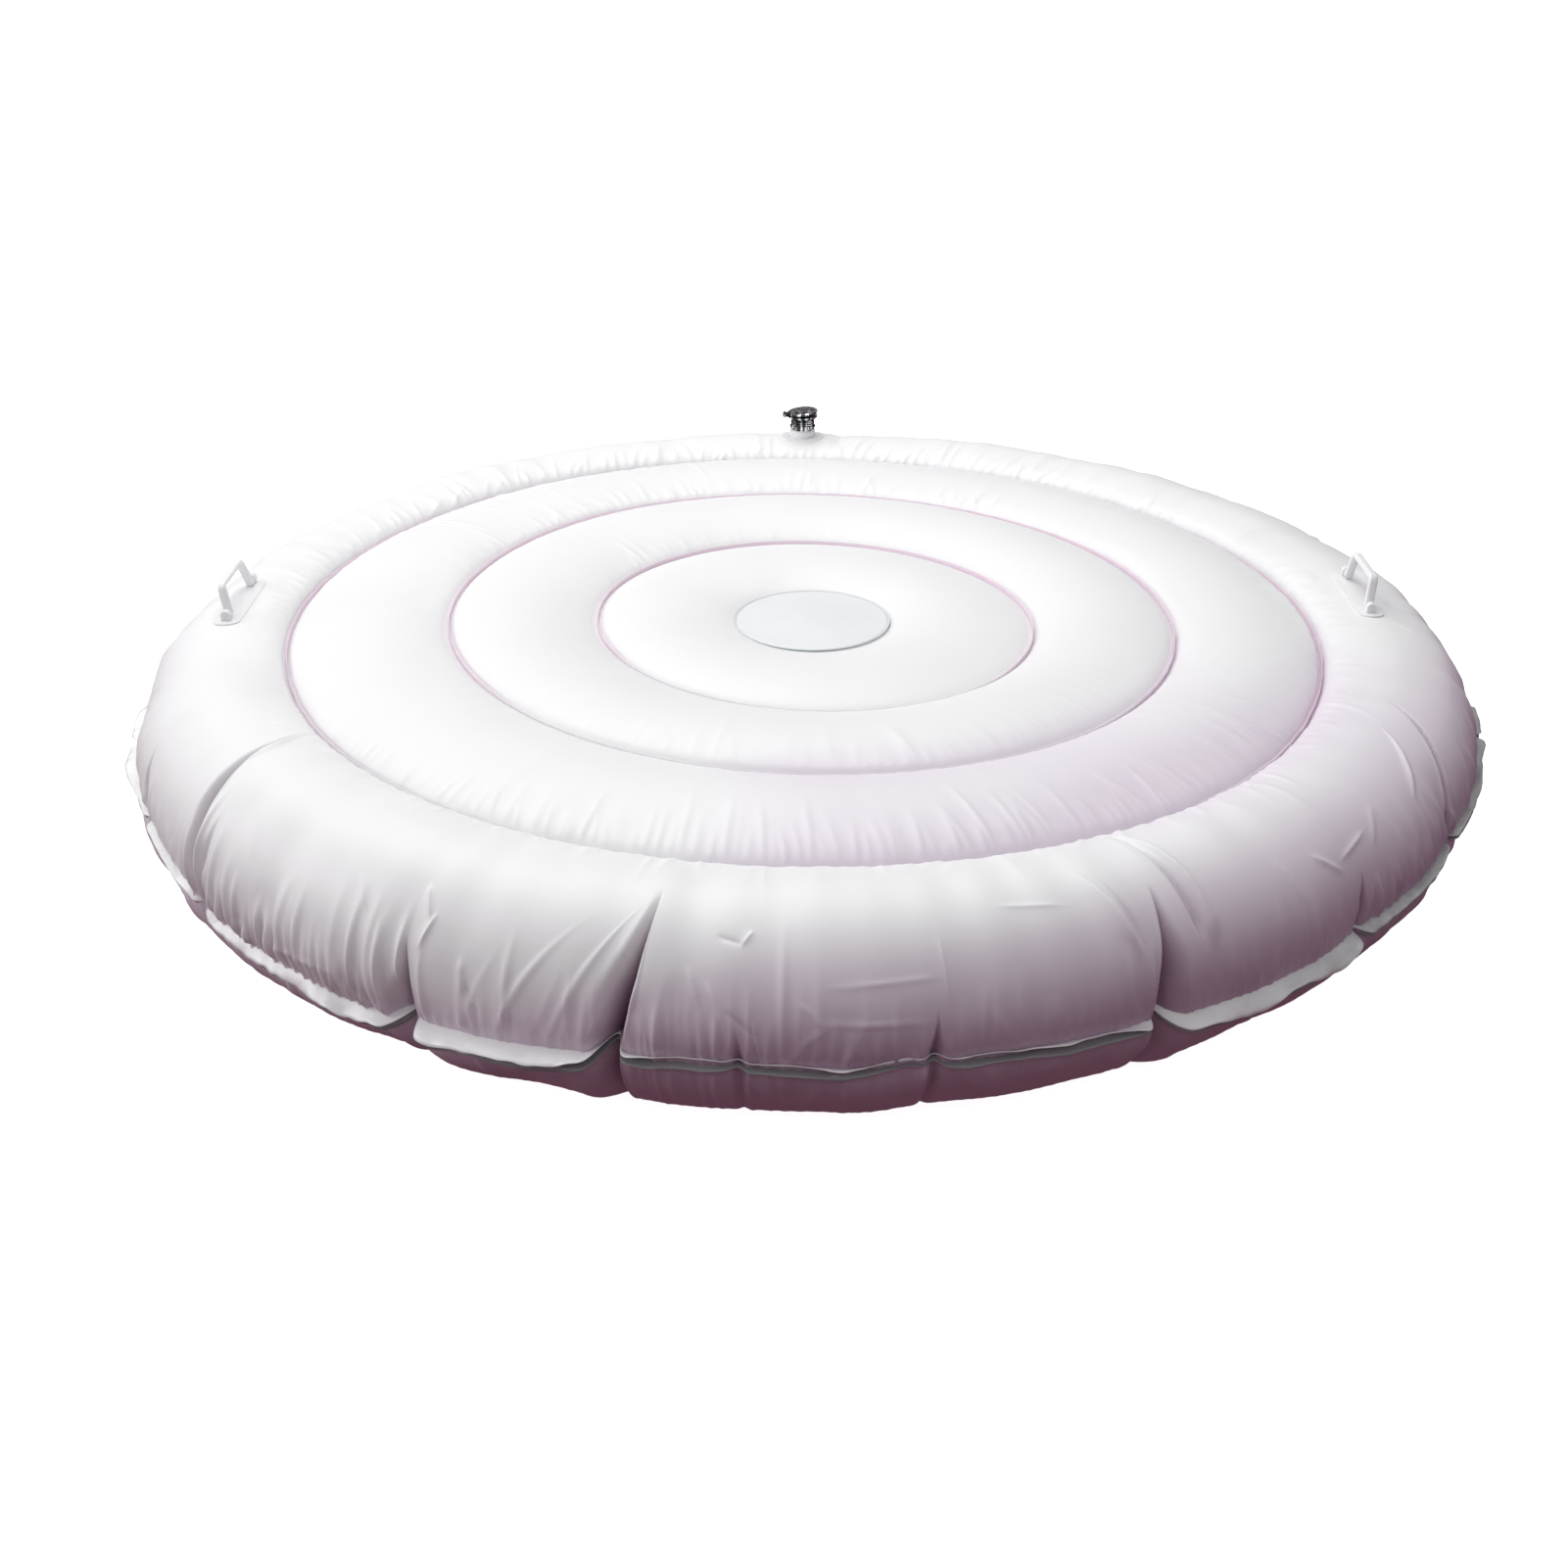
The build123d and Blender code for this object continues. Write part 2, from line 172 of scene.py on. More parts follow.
@dataclass(frozen=True)
class Finish:
    """A surface finish: a base look that the kinds below refine."""

    name: str
    colour: Colour
    roughness: float
    coat: float = 0.0
    grain: float = 0.0
    grain_scale: float = 800.0

    def paint(self, board: Board, where: bpy.types.NodeSocket) -> Any:
        """The base colour, a little uneven from place to place.

        Args:
            board: the material's board.
            where: Object coordinates.

        Returns:
            A colour or an output socket.
        """
        darker = tuple(0.94 * c for c in self.colour)
        return board.blend(board.noise(where, 35.0), darker, self.colour)

    def settings(self) -> dict[str, Any]:
        """Constant sockets of the shader."""
        return {"Coat Weight": self.coat, "Coat Roughness": 0.22}

    def relief(self, board: Board, where: bpy.types.NodeSocket) -> Wire:
        """Height of the fine surface grain."""
        return board.noise(where, self.grain_scale, 2.0)

    def material(self) -> bpy.types.Material:
        """Builds the material, or returns it if it is already there."""
        made = bpy.data.materials.get(self.name)
        if made is not None:
            return made
        made = bpy.data.materials.new(self.name)
        made.use_nodes = True
        made.node_tree.nodes.clear()
        board = Board(made.node_tree)
        where = board.node("ShaderNodeTexCoord").outputs["Object"]
        uneven = board.noise(where, 60.0)
        sockets: dict[Any, Any] = {
            "Base Color": self.paint(board, where),
            "Roughness": self.roughness * (0.85 + 0.3 * uneven),
            **self.settings(),
        }
        if self.grain:
            heights = {"Strength": 1.0, "Distance": self.grain * MM, "Height": self.relief(board, where)}
            bump = board.node("ShaderNodeBump", {}, heights)
            sockets["Normal"] = bump.outputs[0]
        shader = board.node("ShaderNodeBsdfPrincipled", {}, sockets)
        board.node("ShaderNodeOutputMaterial", {}, {"Surface": shader.outputs[0]})
        made.diffuse_color = (*self.colour, 1.0)
        return made


@dataclass(frozen=True)
class VinylFilm(Finish):
    """Satin film with painted shade: mauve towards the lower half of the cushion, less so on its lit left,
    lilac in the valleys by the welds and dark in the folds.
    """

    # Painted shade colours: lilac in the valleys by the welds and on shaded slopes, mauve on the lower flank,
    # plum underneath and near black in the folds.
    lilac_shade: Colour = (0.80, 0.73, 0.81)
    shade: Colour = (0.50, 0.36, 0.46)
    deep: Colour = (0.45, 0.31, 0.39)
    crease: Colour = (0.25, 0.13, 0.20)
    lilac_shade_span: Point = (0.168, 0.207)
    shade_span: Point = (0.098, 0.172)
    under_shade_span: Point = (0.070, 0.112)
    left_light_lift: float = 0.104             # metres that the painted mauve shade starts lower on the lit left
    right_shade_fall: float = 0.020            # and higher on the shaded right
    # Metres that hold the painted lilac shade off the middle and the back and let it sink into the valley in
    # front.
    shade_free_middle: float = 0.03
    shade_free_back: float = 0.035
    front_valley_shade: float = 0.026

    def paint(self, board: Board, where: bpy.types.NodeSocket) -> Any:
        """White film above with painted shade: mauve on the lower flank, plum underneath, lilac in the
        valleys and dark in the folds.

        Args:
            board: the material's board.
            where: Object coordinates.

        Returns:
            The colour's output socket.
        """
        across, depth, height = (Wire(board, socket)
                                 for socket in board.node("ShaderNodeSeparateXYZ", {}, {0: where}).outputs)
        cloud = board.noise(where, 4.0) - 0.5
        # Painted shade by height: its limits drop on the lit left and rise on the shaded right.
        lifted = (height + 0.02 * cloud + self.left_light_lift * board.between(across, 0.05, -0.45)
                  - self.right_shade_fall * board.between(across, 0.1, 0.5))
        radius = (across * across + depth * depth) ** 0.5
        # Painted lilac shade is held off the middle and the back and sinks into the front valley.
        shade_free = (self.shade_free_middle * board.between(radius, 0.42, 0.26)
                 + self.shade_free_back * board.between(depth, -0.28, 0.12))
        valley_shade = (self.front_valley_shade * board.between(radius, 0.60, 0.56)
                  * board.between(depth, -0.20, -0.45))
        flank = board.between(lifted, *self.shade_span)
        shoulder = board.between(lifted + shade_free - valley_shade, *self.lilac_shade_span)
        under = board.between(height + 0.01 * cloud, *self.under_shade_span)
        lower = board.blend(under, self.deep, self.shade)
        faint = tuple(0.97 * c for c in self.colour)
        white = board.blend(board.noise(where, 9.0), faint, self.colour)
        upper = board.blend(shoulder, self.lilac_shade, white)
        # Painted shade in the folds, read from the stored crease attribute.
        painted_crease_shade = board.node("ShaderNodeAttribute", {"attribute_name": CREASE_SHADE}).outputs["Fac"]
        return board.blend(Wire(board, painted_crease_shade), board.blend(flank, lower, upper), self.crease)

    def settings(self) -> dict[str, Any]:
        """Satin film with a thin gloss."""
        return {"Coat Weight": self.coat, "Coat Roughness": 0.3, "IOR": 1.5}

    def relief(self, board: Board, where: bpy.types.NodeSocket) -> Wire:
        """Fine calender grain over a slow ripple."""
        return board.noise(where, self.grain_scale, 2.0) * 0.35 + board.noise(where, 55.0, 3.0)


@dataclass(frozen=True)
class MouldedVinyl(Finish):
    """Milky moulding that lets some light through."""

    def settings(self) -> dict[str, Any]:
        """A soft glossy body that scatters light inside."""
        return {**super().settings(), "Subsurface Weight": 0.35, "Subsurface Radius": (1.0, 0.95, 0.97),
                "Subsurface Scale": 0.004}


@dataclass(frozen=True)
class LooseEdge(Finish):
    """Glossy doubled film edge: white on the left, with painted shade that turns it smoky grey towards the
    right.
    """

    # Painted shade colour of the right side.
    right_shade: Colour = (0.40, 0.41, 0.41)

    def paint(self, board: Board, where: bpy.types.NodeSocket) -> Any:
        """White with streaks of painted shade that close up to the right.

        Args:
            board: the material's board.
            where: Object coordinates.

        Returns:
            The colour's output socket.
        """
        across = Wire(board, board.node("ShaderNodeSeparateXYZ", {}, {0: where}).outputs[0])
        streaks = board.noise(where, 40.0, 2.0) - 0.5
        share = board.between(across + 0.3 * streaks, 0.30, 0.70)
        return board.blend(share, self.colour, self.right_shade)


@dataclass(frozen=True)
class Metal(Finish):
    """Plated or bare metal with fine wear."""

    # Darker share: wear smudges on bare metal, painted dark reflection on the chrome.
    smudge_and_dark_reflection: float = 0.55

    def paint(self, board: Board, where: bpy.types.NodeSocket) -> Any:
        """Metal colour with darker smudges."""
        darker = tuple(self.smudge_and_dark_reflection * c for c in self.colour)
        return board.blend(board.between(board.noise(where, 160.0), 0.35, 0.6), darker, self.colour)

    def settings(self) -> dict[str, Any]:
        """Fully metallic."""
        return {"Metallic": 1.0}


@dataclass(frozen=True)
class ChromePaintedReflections(Metal):
    """Plating painted with reflections: a dark painted reflection with bright painted highlight streaks that
    run along the stem.
    """

    def paint(self, board: Board, where: bpy.types.NodeSocket) -> Any:
        """Mostly painted dark reflection, with narrow painted highlight streaks up the stem.

        Args:
            board: the material's board.
            where: Object coordinates.

        Returns:
            The colour's output socket.
        """
        drawn = board.node("ShaderNodeVectorMath", {"operation": "MULTIPLY"},
                           {0: where, 1: (1.0, 1.0, 0.12)}).outputs["Vector"]
        # Painted dark reflection; the bright streaks are painted highlights.
        dark = tuple(self.smudge_and_dark_reflection * c for c in self.colour)
        return board.blend(board.between(board.noise(drawn, 170.0, 2.0), 0.50, 0.62), dark, self.colour)


@dataclass(frozen=True)
class SeamTape(Finish):
    """Pink tape that whitens towards the front, where the pillows lean over it."""

    white: Colour = (0.90, 0.88, 0.90)

    def paint(self, board: Board, where: bpy.types.NodeSocket) -> Any:
        """Pink at the back and sides, nearly film white in front.

        Args:
            board: the material's board.
            where: Object coordinates.

        Returns:
            The colour's output socket.
        """
        across, depth, _ = (Wire(board, socket)
                            for socket in board.node("ShaderNodeSeparateXYZ", {}, {0: where}).outputs)
        towards_front = depth * (across * across + depth * depth) ** -0.5
        return board.blend(board.between(towards_front, -0.35, -0.78), self.colour, self.white)


class Look(Enum):
    """The finishes on the cushion."""

    FILM = VinylFilm("film_satin_white", (0.885, 0.885, 0.89), 0.5, coat=0.08, grain=0.07)
    PATCH = Finish("patch_cool_white", (0.85, 0.866, 0.875), 0.4, coat=0.15, grain=0.04)
    PATCH_EDGE = Finish("patch_edge_teal_grey", (0.78, 0.84, 0.86), 0.4, coat=0.2, grain=0.04)
    TAPE = SeamTape("seam_tape_pale_pink", (0.88, 0.72, 0.83), 0.4, coat=0.2, grain=0.04)
    RIM = LooseEdge("rim_white", (0.95, 0.96, 0.96), 0.28, coat=0.4, grain=0.09, grain_scale=240.0)
    # The lower rim layer is the same white film; its dark grey is painted shade.
    RIM_BACKING_SHADE = Finish("rim_backing_painted_shade", (0.25, 0.25, 0.26), 0.28, coat=0.4, grain=0.06)
    BAFFLE = Finish("baffle_milky", (0.78, 0.76, 0.78), 0.5, grain=0.08)
    HANDLE = MouldedVinyl("handle_moulded_white", (0.93, 0.93, 0.94), 0.4, coat=0.2, grain=0.05,
                          grain_scale=500.0)
    # Chrome with painted dark reflections and painted highlight streaks.
    CHROME = ChromePaintedReflections("valve_chrome_painted_reflections", (0.78, 0.78, 0.80), 0.12, grain=0.006, smudge_and_dark_reflection=0.06)
    STEEL = Metal("valve_steel", (0.56, 0.56, 0.58), 0.28, grain=0.02)
    BRASS = Metal("valve_brass", (0.72, 0.55, 0.28), 0.3, grain=0.02)
    RUBBER = Finish("seal_black_rubber", (0.03, 0.03, 0.032), 0.7, grain=0.05)


SLOT_LOOKS = {
    "film_white": Look.FILM, "patch_film": Look.PATCH, "tape_pink": Look.TAPE, "baffle_film": Look.BAFFLE,
    "handle_white": Look.HANDLE, "valve_chrome": Look.CHROME, "valve_steel": Look.STEEL,
    "valve_brass": Look.BRASS, "seal_rubber": Look.RUBBER,
}


# ---------------------------------------------------------------- mesh helpers


def smoothstep(value: np.ndarray, low: float, high: float) -> np.ndarray:
    """0 below low, 1 above high, smooth between; high may be the smaller one."""
    share = np.clip((value - low) / (high - low), 0.0, 1.0)
    return share * share * (3.0 - 2.0 * share)


def turn_between(first: np.ndarray, second: Any) -> np.ndarray:
    """Degrees from second to first, from -180 to 180."""
    return (np.asarray(first) - second + 180.0) % 360.0 - 180.0


def wandering(bearings: np.ndarray, turns: tuple[int, int], seed: int) -> np.ndarray:
    """A smooth closed random line over the bearings, about -1 to 1.

    Args:
        bearings: where it is wanted, in degrees.
        turns: fewest and most waves in a full turn.
        seed: fixed seed.

    Returns:
        One value for each bearing.
    """
    rng = np.random.default_rng(seed)
    angle = np.radians(bearings)
    waves = np.arange(turns[0], turns[1] + 1)
    line = np.zeros_like(angle)
    for wave in waves:
        line += rng.normal() * np.cos(wave * angle + rng.uniform(0, 2 * math.pi))
    return line / math.sqrt(len(waves))


def object_from(name: str, vertices: np.ndarray, faces: Any, look: Look) -> bpy.types.Object:
    """A smooth mesh object from points in millimetres.

    Args:
        name: the piece's name.
        vertices: N x 3 points.
        faces: lists of point numbers.
        look: the finish.

    Returns:
        The object, at the origin.
    """
    mesh = bpy.data.meshes.new(name)
    mesh.from_pydata((vertices * MM).tolist(), [], faces)
    mesh.materials.append(look.value.material())
    piece = bpy.data.objects.new(name, mesh)
    bpy.context.scene.collection.objects.link(piece)
    return face_outwards(piece)


def face_outwards(piece: bpy.types.Object) -> bpy.types.Object:
    """Shades a closed piece smooth and turns its faces outwards."""
    shape = bmesh.new()
    shape.from_mesh(piece.data)
    if shape.calc_volume(signed=True) < 0:
        bmesh.ops.reverse_faces(shape, faces=shape.faces)
    shape.to_mesh(piece.data)
    shape.free()
    piece.data.shade_smooth()
    return piece


def loop_faces(rows: int, columns: int) -> list[tuple[int, int, int, int]]:
    """Quads of a grid that closes both ways: round the section and round the cushion."""
    row, column = np.meshgrid(np.arange(rows), np.arange(columns), indexing="ij")
    next_row, next_column = (row + 1) % rows, (column + 1) % columns
    corners = (row * columns + column, row * columns + next_column,
               next_row * columns + next_column, next_row * columns + column)
    return np.stack(corners, -1).reshape(-1, 4).tolist()


def disc_faces(rows: int, columns: int) -> list[tuple[int, ...]]:
    """Faces of stacked rings with a pole before the first ring and one after the last."""
    column = np.arange(columns)
    faces = loop_faces(rows, columns)[: (rows - 1) * columns]
    near, far, last = rows * columns, rows * columns + 1, (rows - 1) * columns
    faces += [(near, int((c + 1) % columns), int(c)) for c in column]
    faces += [(far, int(last + c), int(last + (c + 1) % columns)) for c in column]
    return faces


def ride_as(piece: bpy.types.Object, body: str, slot: str, *stands_for: str) -> None:
    """Puts a finished piece on its body and hides what it stands for."""
    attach(piece, body)
    if stands_for:
        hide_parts(*stands_for)


# ---------------------------------------------------------------- folds and wrinkles

FOLD_REACH = 26.0                        # degrees each side of a fold that it can touch
NICK_REACH = 12.0


@dataclass(frozen=True)
class Fold:
    """A crease that runs up the tube from the rim, or a ridge where its height is positive."""

    path: tuple[Point, ...]              # share of the arc from the ring weld to the rim, bearing
    height: float                        # millimetres, negative for a groove
    left: float                          # reach towards lower bearings, in millimetres
    right: float
    lip: float = 0.0                     # rise of the film beside the groove
    shove: float = 0.0                   # how far the left side is pushed over the groove
    sharp: float = 1.5

    def line(self, share: np.ndarray) -> np.ndarray:
        """Bearing of the crease at each share of the arc."""
        shares, bearings = zip(*self.path)
        fit = np.polyfit(shares, bearings, min(2, len(self.path) - 1))
        return np.polyval(fit, np.clip(share, min(shares), max(shares)))

    def strength(self, share: np.ndarray) -> np.ndarray:
        """How strong the crease is along the arc, from 0 at its upper end to 1 at the rim."""
        shares = [s for s, _ in self.path]
        rise = smoothstep(share, min(shares) - 0.05, min(shares) + 0.6 * (max(shares) - min(shares)) + 0.05)
        fall = 1.0 if max(shares) >= 1.0 else smoothstep(share, max(shares) + 0.08, max(shares) - 0.08)
        return rise * fall


@dataclass(frozen=True)
class Nick:
    """A short straight crease anywhere on the film."""

    share: float
    bearing: float
    length: float
    angle: float                         # degrees from the direction round the cushion
    height: float
    width: float


@dataclass(frozen=True)
class Wrinkles:
    """A row of fine wrinkles that start at one edge of a chamber."""

    count: int
    height: float
    width: float
    start: float                         # share of the arc where they start
    length: float                        # mean share of the arc that they run
    seed: int
    drift: float = 1.0                   # degrees that one may stray
    lean: float = 0.0                    # degrees that all lean
    grip: float = 0.35                   # height left at the starting edge
    sectors: tuple[tuple[float, float, float], ...] = ((0.0, 360.0, 1.0),)   # middle, width, strength

    def gain(self, bearing: float) -> float:
        """Strength at a bearing."""
        found = [strength * float(smoothstep(np.array(abs(float(turn_between(np.array(bearing), middle)))),
                                             width * 0.55, width * 0.40))
                 for middle, width, strength in self.sectors]
        return max(found)


class Relief:
    """Heights off a chamber's plain surface and the painted shade of its folds, on a grid of arc shares and
    bearings.
    """

    def __init__(self, shares: np.ndarray, bearings: np.ndarray, radii: np.ndarray,
                 arc_length: float) -> None:
        """Starts flat.

        Args:
            shares: share of the arc of each row.
            bearings: degrees of each column.
            radii: distance of each row from the axis.
            arc_length: length of the arc.
        """
        self.shares, self.bearings, self.radii, self.arc_length = shares, bearings, radii, arc_length
        self.height = np.zeros((len(shares), len(bearings)))
        self.sideways = np.zeros_like(self.height)
        # Painted shade that the folds put on the film's colour, from 0 to 1.
        self.crease = np.zeros_like(self.height)

    def _near(self, middle: float, reach: float) -> np.ndarray:
        """Numbers of the columns within a reach in degrees."""
        return np.nonzero(np.abs(turn_between(self.bearings, middle)) < reach)[0]

    def _across(self, columns: np.ndarray, line: np.ndarray) -> np.ndarray:
        """Millimetres from a line of bearings, rows by columns."""
        turn = turn_between(self.bearings[columns][None, :], line[:, None])
        return np.radians(turn) * self.radii[:, None]

    def fold(self, fold: Fold) -> None:
        """Adds one fold."""
        line = fold.line(self.shares)
        columns = self._near(float(line.mean()), FOLD_REACH)
        across = self._across(columns, line)
        strength = fold.strength(self.shares)[:, None]
        widen = 0.25 + 0.75 * strength**1.5
        side = np.where(across < 0, fold.left, fold.right) * widen
        groove = np.exp(-np.abs(across / side) ** fold.sharp)
        lips = np.exp(-((np.abs(across) - 1.9 * side) / (0.8 * side)) ** 2)
        self.height[:, columns] += strength * (fold.height * groove + fold.lip * lips)
        # Painted shade: deep grooves also get a darker colour, strongest at their bottom.
        depth = min(1.0, max(0.0, -fold.height - 2.0) / 24.0)
        shaded = depth * strength**0.7 * np.exp(-np.abs(across / (1.05 * side)) ** 1.8)
        self.crease[:, columns] = np.maximum(self.crease[:, columns], shaded)
        pushed = np.exp(-np.abs(across) / 14.0) * smoothstep(across, 5.0, 0.0)
        self.sideways[:, columns] += strength * fold.shove * pushed

    def nick(self, nick: Nick) -> None:
        """Adds one short crease."""
        columns = self._near(nick.bearing, NICK_REACH)
        radius = float(np.interp(nick.share, self.shares, self.radii))
        x = np.radians(turn_between(self.bearings[columns], nick.bearing))[None, :] * radius
        y = ((self.shares - nick.share) * self.arc_length)[:, None]
        cos, sin = math.cos(math.radians(nick.angle)), math.sin(math.radians(nick.angle))
        along, across = x * cos + y * sin, y * cos - x * sin
        taper = np.exp(-(np.abs(2 * along / nick.length)) ** 4)
        self.height[:, columns] += nick.height * taper * np.exp(-np.abs(across) / nick.width)

    def wrinkles(self, row: Wrinkles) -> None:
        """Adds a row of fine wrinkles."""
        rng = np.random.default_rng(row.seed)
        places = (np.arange(row.count) + rng.uniform(-0.3, 0.3, row.count)) * 360.0 / row.count - 180.0
        away = np.abs(self.shares - row.start)
        for place in places:
            draws = rng.normal(size=4)
            gain = row.gain(float(place))
            if gain < 0.02:
                continue
            length = row.length * float(np.clip(math.exp(0.45 * draws[0]), 0.35, 2.4))
            lean = row.lean + row.drift * draws[1]
            line = place + lean * (away / length) ** 1.5
            columns = self._near(float(place), 5.0 + abs(lean) * 2)
            width = row.width * math.exp(0.18 * draws[2]) * (0.75 + 0.5 * np.clip(away / length, 0, 1))
            run = np.clip(away / length, 0.0, 1.0)
            taper = row.grip + (1 - row.grip) * smoothstep(run, 0.0, 0.22)
            taper *= 1.0 - smoothstep(run, 0.35, 1.0)
            ridge = np.exp(-np.abs(self._across(columns, line) / width[:, None]) ** 1.6)
            size = gain * row.height * math.exp(0.28 * draws[3])
            self.height[:, columns] += size * taper[:, None] * ridge


MAIN_FOLDS = (
    Fold(((1.0, -141.3), (0.68, -142.4), (0.30, -143.6), (0.06, -147.0)), -24, 8, 3, lip=2.4, shove=2.0),
    Fold(((1.0, -117.8), (0.86, -117.6), (0.74, -117.8)), -32, 12, 2.5, lip=2.4, shove=2.0, sharp=1.3),
    Fold(((1.0, -102.4), (0.73, -101.3), (0.38, -100.2)), -32, 12, 3, lip=3.2, shove=3.0, sharp=1.3),
    Fold(((1.0, -65.2), (0.80, -64.8), (0.52, -64.1)), -36, 2.5, 14, lip=2.6, shove=4.0, sharp=1.3),
    Fold(((1.0, -45.7), (0.90, -45.4), (0.80, -45.0)), -22, 5, 5, lip=1.4, shove=1.5),
    Fold(((1.0, -30.2), (0.75, -28.2), (0.36, -22.9)), -27, 7, 3, lip=3.0, shove=2.0, sharp=1.3),
    Fold(((1.0, -10.5), (0.62, -11.5)), -14, 5, 5, lip=1.8),
    Fold(((1.0, 14.5), (0.60, 13.4)), -16, 5, 6, lip=1.8, shove=2.0),
    Fold(((1.0, 35.0), (0.70, 36.4), (0.40, 38.5)), -20, 6, 4, lip=2.2, shove=2.5),
    Fold(((1.0, 57.5), (0.62, 56.0)), -14, 5, 5, lip=1.6),
    Fold(((1.0, 76.0), (0.55, 77.5)), -17, 6, 4, lip=1.8, shove=2.0),
    Fold(((1.0, 103.5), (0.60, 102.0)), -16, 4, 6, lip=1.8),
    Fold(((1.0, 126.5), (0.75, 127.5), (0.42, 130.0)), -20, 7, 4, lip=2.2, shove=2.5),
    Fold(((1.0, 147.0), (0.60, 145.8)), -14, 5, 5, lip=1.6),
    Fold(((1.0, 168.5), (0.58, 167.0)), -16, 5, 4, lip=1.8, shove=2.0),
    Fold(((1.0, -168.0), (0.62, -166.6)), -14, 5, 5, lip=1.6),
    Fold(((1.0, -154.0), (0.72, -155.0)), -11, 5, 4, lip=1.2),
    Fold(((1.0, -94.0), (0.88, -94.2)), -7, 5, 4, lip=0.8),
    Fold(((1.0, -81.2), (0.84, -81.0)), -11, 4, 4, lip=1.0),
)

SIDE_RIDGES = (
    Fold(((0.02, -63.6), (0.36, -61.4), (0.74, -60.6)), 6.5, 3, 6),
    Fold(((0.20, -62.8), (0.42, -62.0), (0.72, -61.4)), -7.0, 4, 2.5),
    Fold(((0.34, -69.0), (0.52, -67.6), (0.70, -66.6)), 5.0, 6, 3.5),
    Fold(((0.40, -67.4), (0.56, -66.6), (0.70, -66.0)), -3.5, 3, 3),
    Fold(((0.35, -28.0), (0.50, -31.0), (0.66, -34.5)), 3.5, 5, 5),
    Fold(((0.02, -148.0), (0.20, -144.6), (0.36, -143.2)), 3.0, 5, 5),
    Fold(((0.60, -139.8), (0.75, -140.2), (0.86, -140.6)), -5.0, 4, 5),
    Fold(((0.62, -101.9), (0.72, -101.2), (0.84, -101.6)), 4.5, 5, 4),
    Fold(((0.30, 20.0), (0.55, 23.0), (0.80, 24.0)), 2.4, 6, 5),
    Fold(((0.35, 48.0), (0.60, 45.5), (0.85, 44.5)), 2.4, 5, 6),
    Fold(((0.30, 116.0), (0.60, 114.0), (0.90, 113.5)), 2.4, 6, 5),
    Fold(((0.40, 136.0), (0.65, 137.5), (0.90, 139.5)), 2.2, 6, 6),
    Fold(((0.40, -178.0), (0.65, -176.0), (0.90, -176.5)), 2.0, 6, 5),
) + tuple(
    Fold(((0.97, bearing), (0.80, bearing + 1.4), (top, bearing + lean)), height, 3, 5)
    for bearing, top, lean, height in (
        (-113.4, 0.62, 3.0, 1.4), (-110.6, 0.48, 6.2, 2.6), (-108.2, 0.66, 2.4, 1.0),
        (-106.9, 0.40, 6.0, 2.2), (-104.3, 0.58, 3.0, 1.6))
)

NICKS = (
    Nick(0.915, -127.8, 84, -4, 2.1, 1.8), Nick(0.80, -113.2, 30, 80, 2.6, 2.0),
    Nick(0.86, -112.4, 26, 60, -2.6, 2.2), Nick(0.92, -113.3, 24, 98, 2.4, 2.0),
    Nick(0.97, -112.9, 18, 40, 2.2, 2.0), Nick(0.78, -95.4, 34, 62, 2.2, 2.0),
    Nick(0.84, -93.8, 30, 35, -2.1, 2.0), Nick(0.89, -92.8, 26, 80, 1.9, 1.8),
    Nick(0.835, -85.2, 86, 2, 2.1, 1.6), Nick(0.80, -89.2, 24, 42, 1.9, 1.6),
    Nick(0.87, -89.0, 26, -34, 1.9, 1.6), Nick(0.70, -84.4, 80, -3, 1.3, 1.8),
    Nick(0.66, -80.4, 44, 86, 1.1, 2.4), Nick(0.55, -94.8, 20, 15, -1.6, 2.4),
    Nick(0.54, -93.6, 14, -55, 1.7, 2.0), Nick(0.66, -48.4, 34, 40, 2.6, 2.2),
    Nick(0.65, -44.9, 44, -12, 2.4, 2.2), Nick(0.63, -41.6, 36, -50, 2.1, 2.2),
    Nick(0.56, -117.0, 24, 60, 2.6, 2.2), Nick(0.66, -116.4, 26, 110, 2.6, 2.2),
    Nick(0.47, -73.5, 50, 8, 1.3, 2.4), Nick(0.66, -52.5, 44, 75, 1.4, 2.6),
    Nick(0.58, -135.0, 40, 55, 1.3, 2.6), Nick(0.72, -97.0, 28, 70, 1.8, 2.0),
    Nick(0.93, -97.6, 24, 85, 1.6, 2.0), Nick(0.90, -76.5, 34, 60, 1.4, 2.2),
    Nick(0.88, -72.6, 30, 80, 1.4, 2.2), Nick(0.60, -122.4, 28, 50, 1.9, 2.2),
)


# ---------------------------------------------------------------- the film's section


@dataclass(frozen=True)
class Arc:
    """An arc of the film's section between two points, standing off its chord to the left."""

    start: Point
    end: Point
    rise: float

    def circle(self) -> tuple[float, float, float]:
        """Centre radius, centre height and radius of the arc."""
        run, climb = self.end[0] - self.start[0], self.end[1] - self.start[1]
        chord = math.hypot(run, climb)
        radius = (chord**2 / 4 + self.rise**2) / (2 * abs(self.rise))
        offset = self.rise - math.copysign(radius, self.rise)
        return ((self.start[0] + self.end[0]) / 2 - offset * climb / chord,
                (self.start[1] + self.end[1]) / 2 + offset * run / chord, radius)

    def sweep(self, shares: np.ndarray) -> tuple[np.ndarray, np.ndarray, float]:
        """Points and outward normals along the arc.

        Args:
            shares: from 0 at the start to 1 at the end.

        Returns:
            Points, unit normals and the arc's length.
        """
        centre_r, centre_z, radius = self.circle()
        first = math.atan2(self.start[1] - centre_z, self.start[0] - centre_r)
        last = math.atan2(self.end[1] - centre_z, self.end[0] - centre_r)
        if self.rise > 0 and last > first:
            last -= 2 * math.pi
        if self.rise < 0 and last < first:
            last += 2 * math.pi
        angle = first + (last - first) * shares
        normals = np.stack((np.cos(angle), np.sin(angle)), -1)
        return np.array((centre_r, centre_z)) + radius * normals, normals, abs(last - first) * radius


